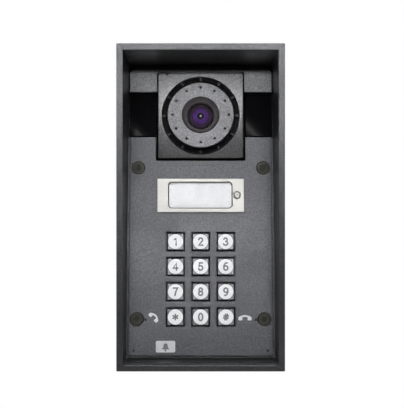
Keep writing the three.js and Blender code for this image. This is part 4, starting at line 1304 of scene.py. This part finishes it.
def stage_floor():
    bm = bmesh.new()
    corners = ((-1, -1), (1, -1), (1, 1), (-1, 1))
    bm.faces.new([bm.verts.new((x * FLOOR_REACH, y * FLOOR_REACH, FLOOR_LEVEL)) for x, y in corners])
    mesh = bpy.data.meshes.new("floor")
    bm.to_mesh(mesh)
    bm.free()
    finish = Finish("floor_pale", (0.80, 0.80, 0.80), 0.7)
    finish.tint([finish.ramp(finish.noise(6.0, 3.0), 0.98, 1.02)])
    mesh.materials.append(finish.material)
    obj = bpy.data.objects.new("floor", mesh)
    bpy.context.scene.collection.objects.link(obj)


def area_light(name, place, target, size, power):
    light = bpy.data.lights.new(name, "AREA")
    light.shape = "RECTANGLE"
    light.size, light.size_y = size
    light.energy = power
    obj = bpy.data.objects.new(name, light)
    obj.location = place
    obj.rotation_euler = (Vector(target) - Vector(place)).to_track_quat("-Z", "Y").to_euler()
    bpy.context.scene.collection.objects.link(obj)


def studio_world():
    """Dim, and darker below than above, but plain white where the camera sees it directly."""
    world = bpy.data.worlds.new("studio")
    bpy.context.scene.world = world
    world.use_nodes = True
    tree = world.node_tree
    tree.nodes.clear()
    node = tree.nodes.new
    output = node("ShaderNodeOutputWorld")
    seen = node("ShaderNodeBackground")
    lit = node("ShaderNodeBackground")
    choose = node("ShaderNodeMixShader")
    path = node("ShaderNodeLightPath")
    coordinates = node("ShaderNodeTexCoord")
    split = node("ShaderNodeSeparateXYZ")
    ramp = node("ShaderNodeMapRange")
    seen.inputs["Strength"].default_value = 1.0
    seen.inputs["Color"].default_value = (1, 1, 1, 1)
    ramp.inputs["From Min"].default_value = -0.2
    ramp.inputs["From Max"].default_value = 0.9
    ramp.inputs["To Min"].default_value = WORLD_LOW
    ramp.inputs["To Max"].default_value = WORLD_HIGH
    tree.links.new(coordinates.outputs["Generated"], split.inputs["Vector"])
    tree.links.new(split.outputs["Z"], ramp.inputs["Value"])
    tree.links.new(ramp.outputs["Result"], lit.inputs["Strength"])
    tree.links.new(path.outputs["Is Camera Ray"], choose.inputs["Fac"])
    tree.links.new(lit.outputs["Background"], choose.inputs[1])
    tree.links.new(seen.outputs["Background"], choose.inputs[2])
    tree.links.new(choose.outputs["Shader"], output.inputs["Surface"])


bpy.context.scene.view_settings.view_transform = "Standard"
stage_floor()
studio_world()

# Name, place in metres, width and height in metres, power in watts. The front lights are aimed at
# the plate. The others light only what the front view doesn't show, and are aimed at the wall face
PLATE_MIDDLE = (0, -0.05, 0)
WALL_MIDDLE = (0, 0, 0)
FRONT_LIGHTS = (
    ("soft_front", (0.0, -1.609, 0.36), (1.0, 0.10), 6.9),
    ("near_above", (0.0, -0.35, 0.30), (0.3, 0.1), 0.8),
    ("near_front", (0.0, -0.45, 0.15), (0.5, 0.06), 0.07),
)
OTHER_LIGHTS = (
    ("side_fill", (-1.3, -1.3, 0.45), (1.0, 1.0), 1.8),
    ("side_back", (-1.4, 0.8, 0.5), (1.8, 1.8), 24),
    ("side_fill", (1.3, -1.3, 0.45), (1.0, 1.0), 1.8),
    ("side_back", (1.4, 0.8, 0.5), (1.8, 1.8), 24),
    ("back", (0, 1.8, 0.6), (1.8, 1.4), 24),
    ("overhead", (0, 0.5, 1.6), (1.4, 1.0), 16),
)
for lights, target in ((FRONT_LIGHTS, PLATE_MIDDLE), (OTHER_LIGHTS, WALL_MIDDLE)):
    for name, place, size, power in lights:
        area_light(name, place, target, size, power)

CAMERA_DISTANCE = 0.56
CAMERA_LENS = 76.56
CAMERA_SHIFT = (0.0033, 0.0083)
camera_data = bpy.data.cameras.new("camera")
camera_data.sensor_width = 36
camera_data.sensor_fit = "AUTO"
camera_data.lens = CAMERA_LENS
camera_data.shift_x, camera_data.shift_y = CAMERA_SHIFT
camera = bpy.data.objects.new("camera", camera_data)
camera.location = (0, -DEPTH * MM - CAMERA_DISTANCE, 0)
camera.rotation_euler = (pi / 2, 0, 0)
bpy.context.scene.collection.objects.link(camera)
bpy.context.scene.camera = camera
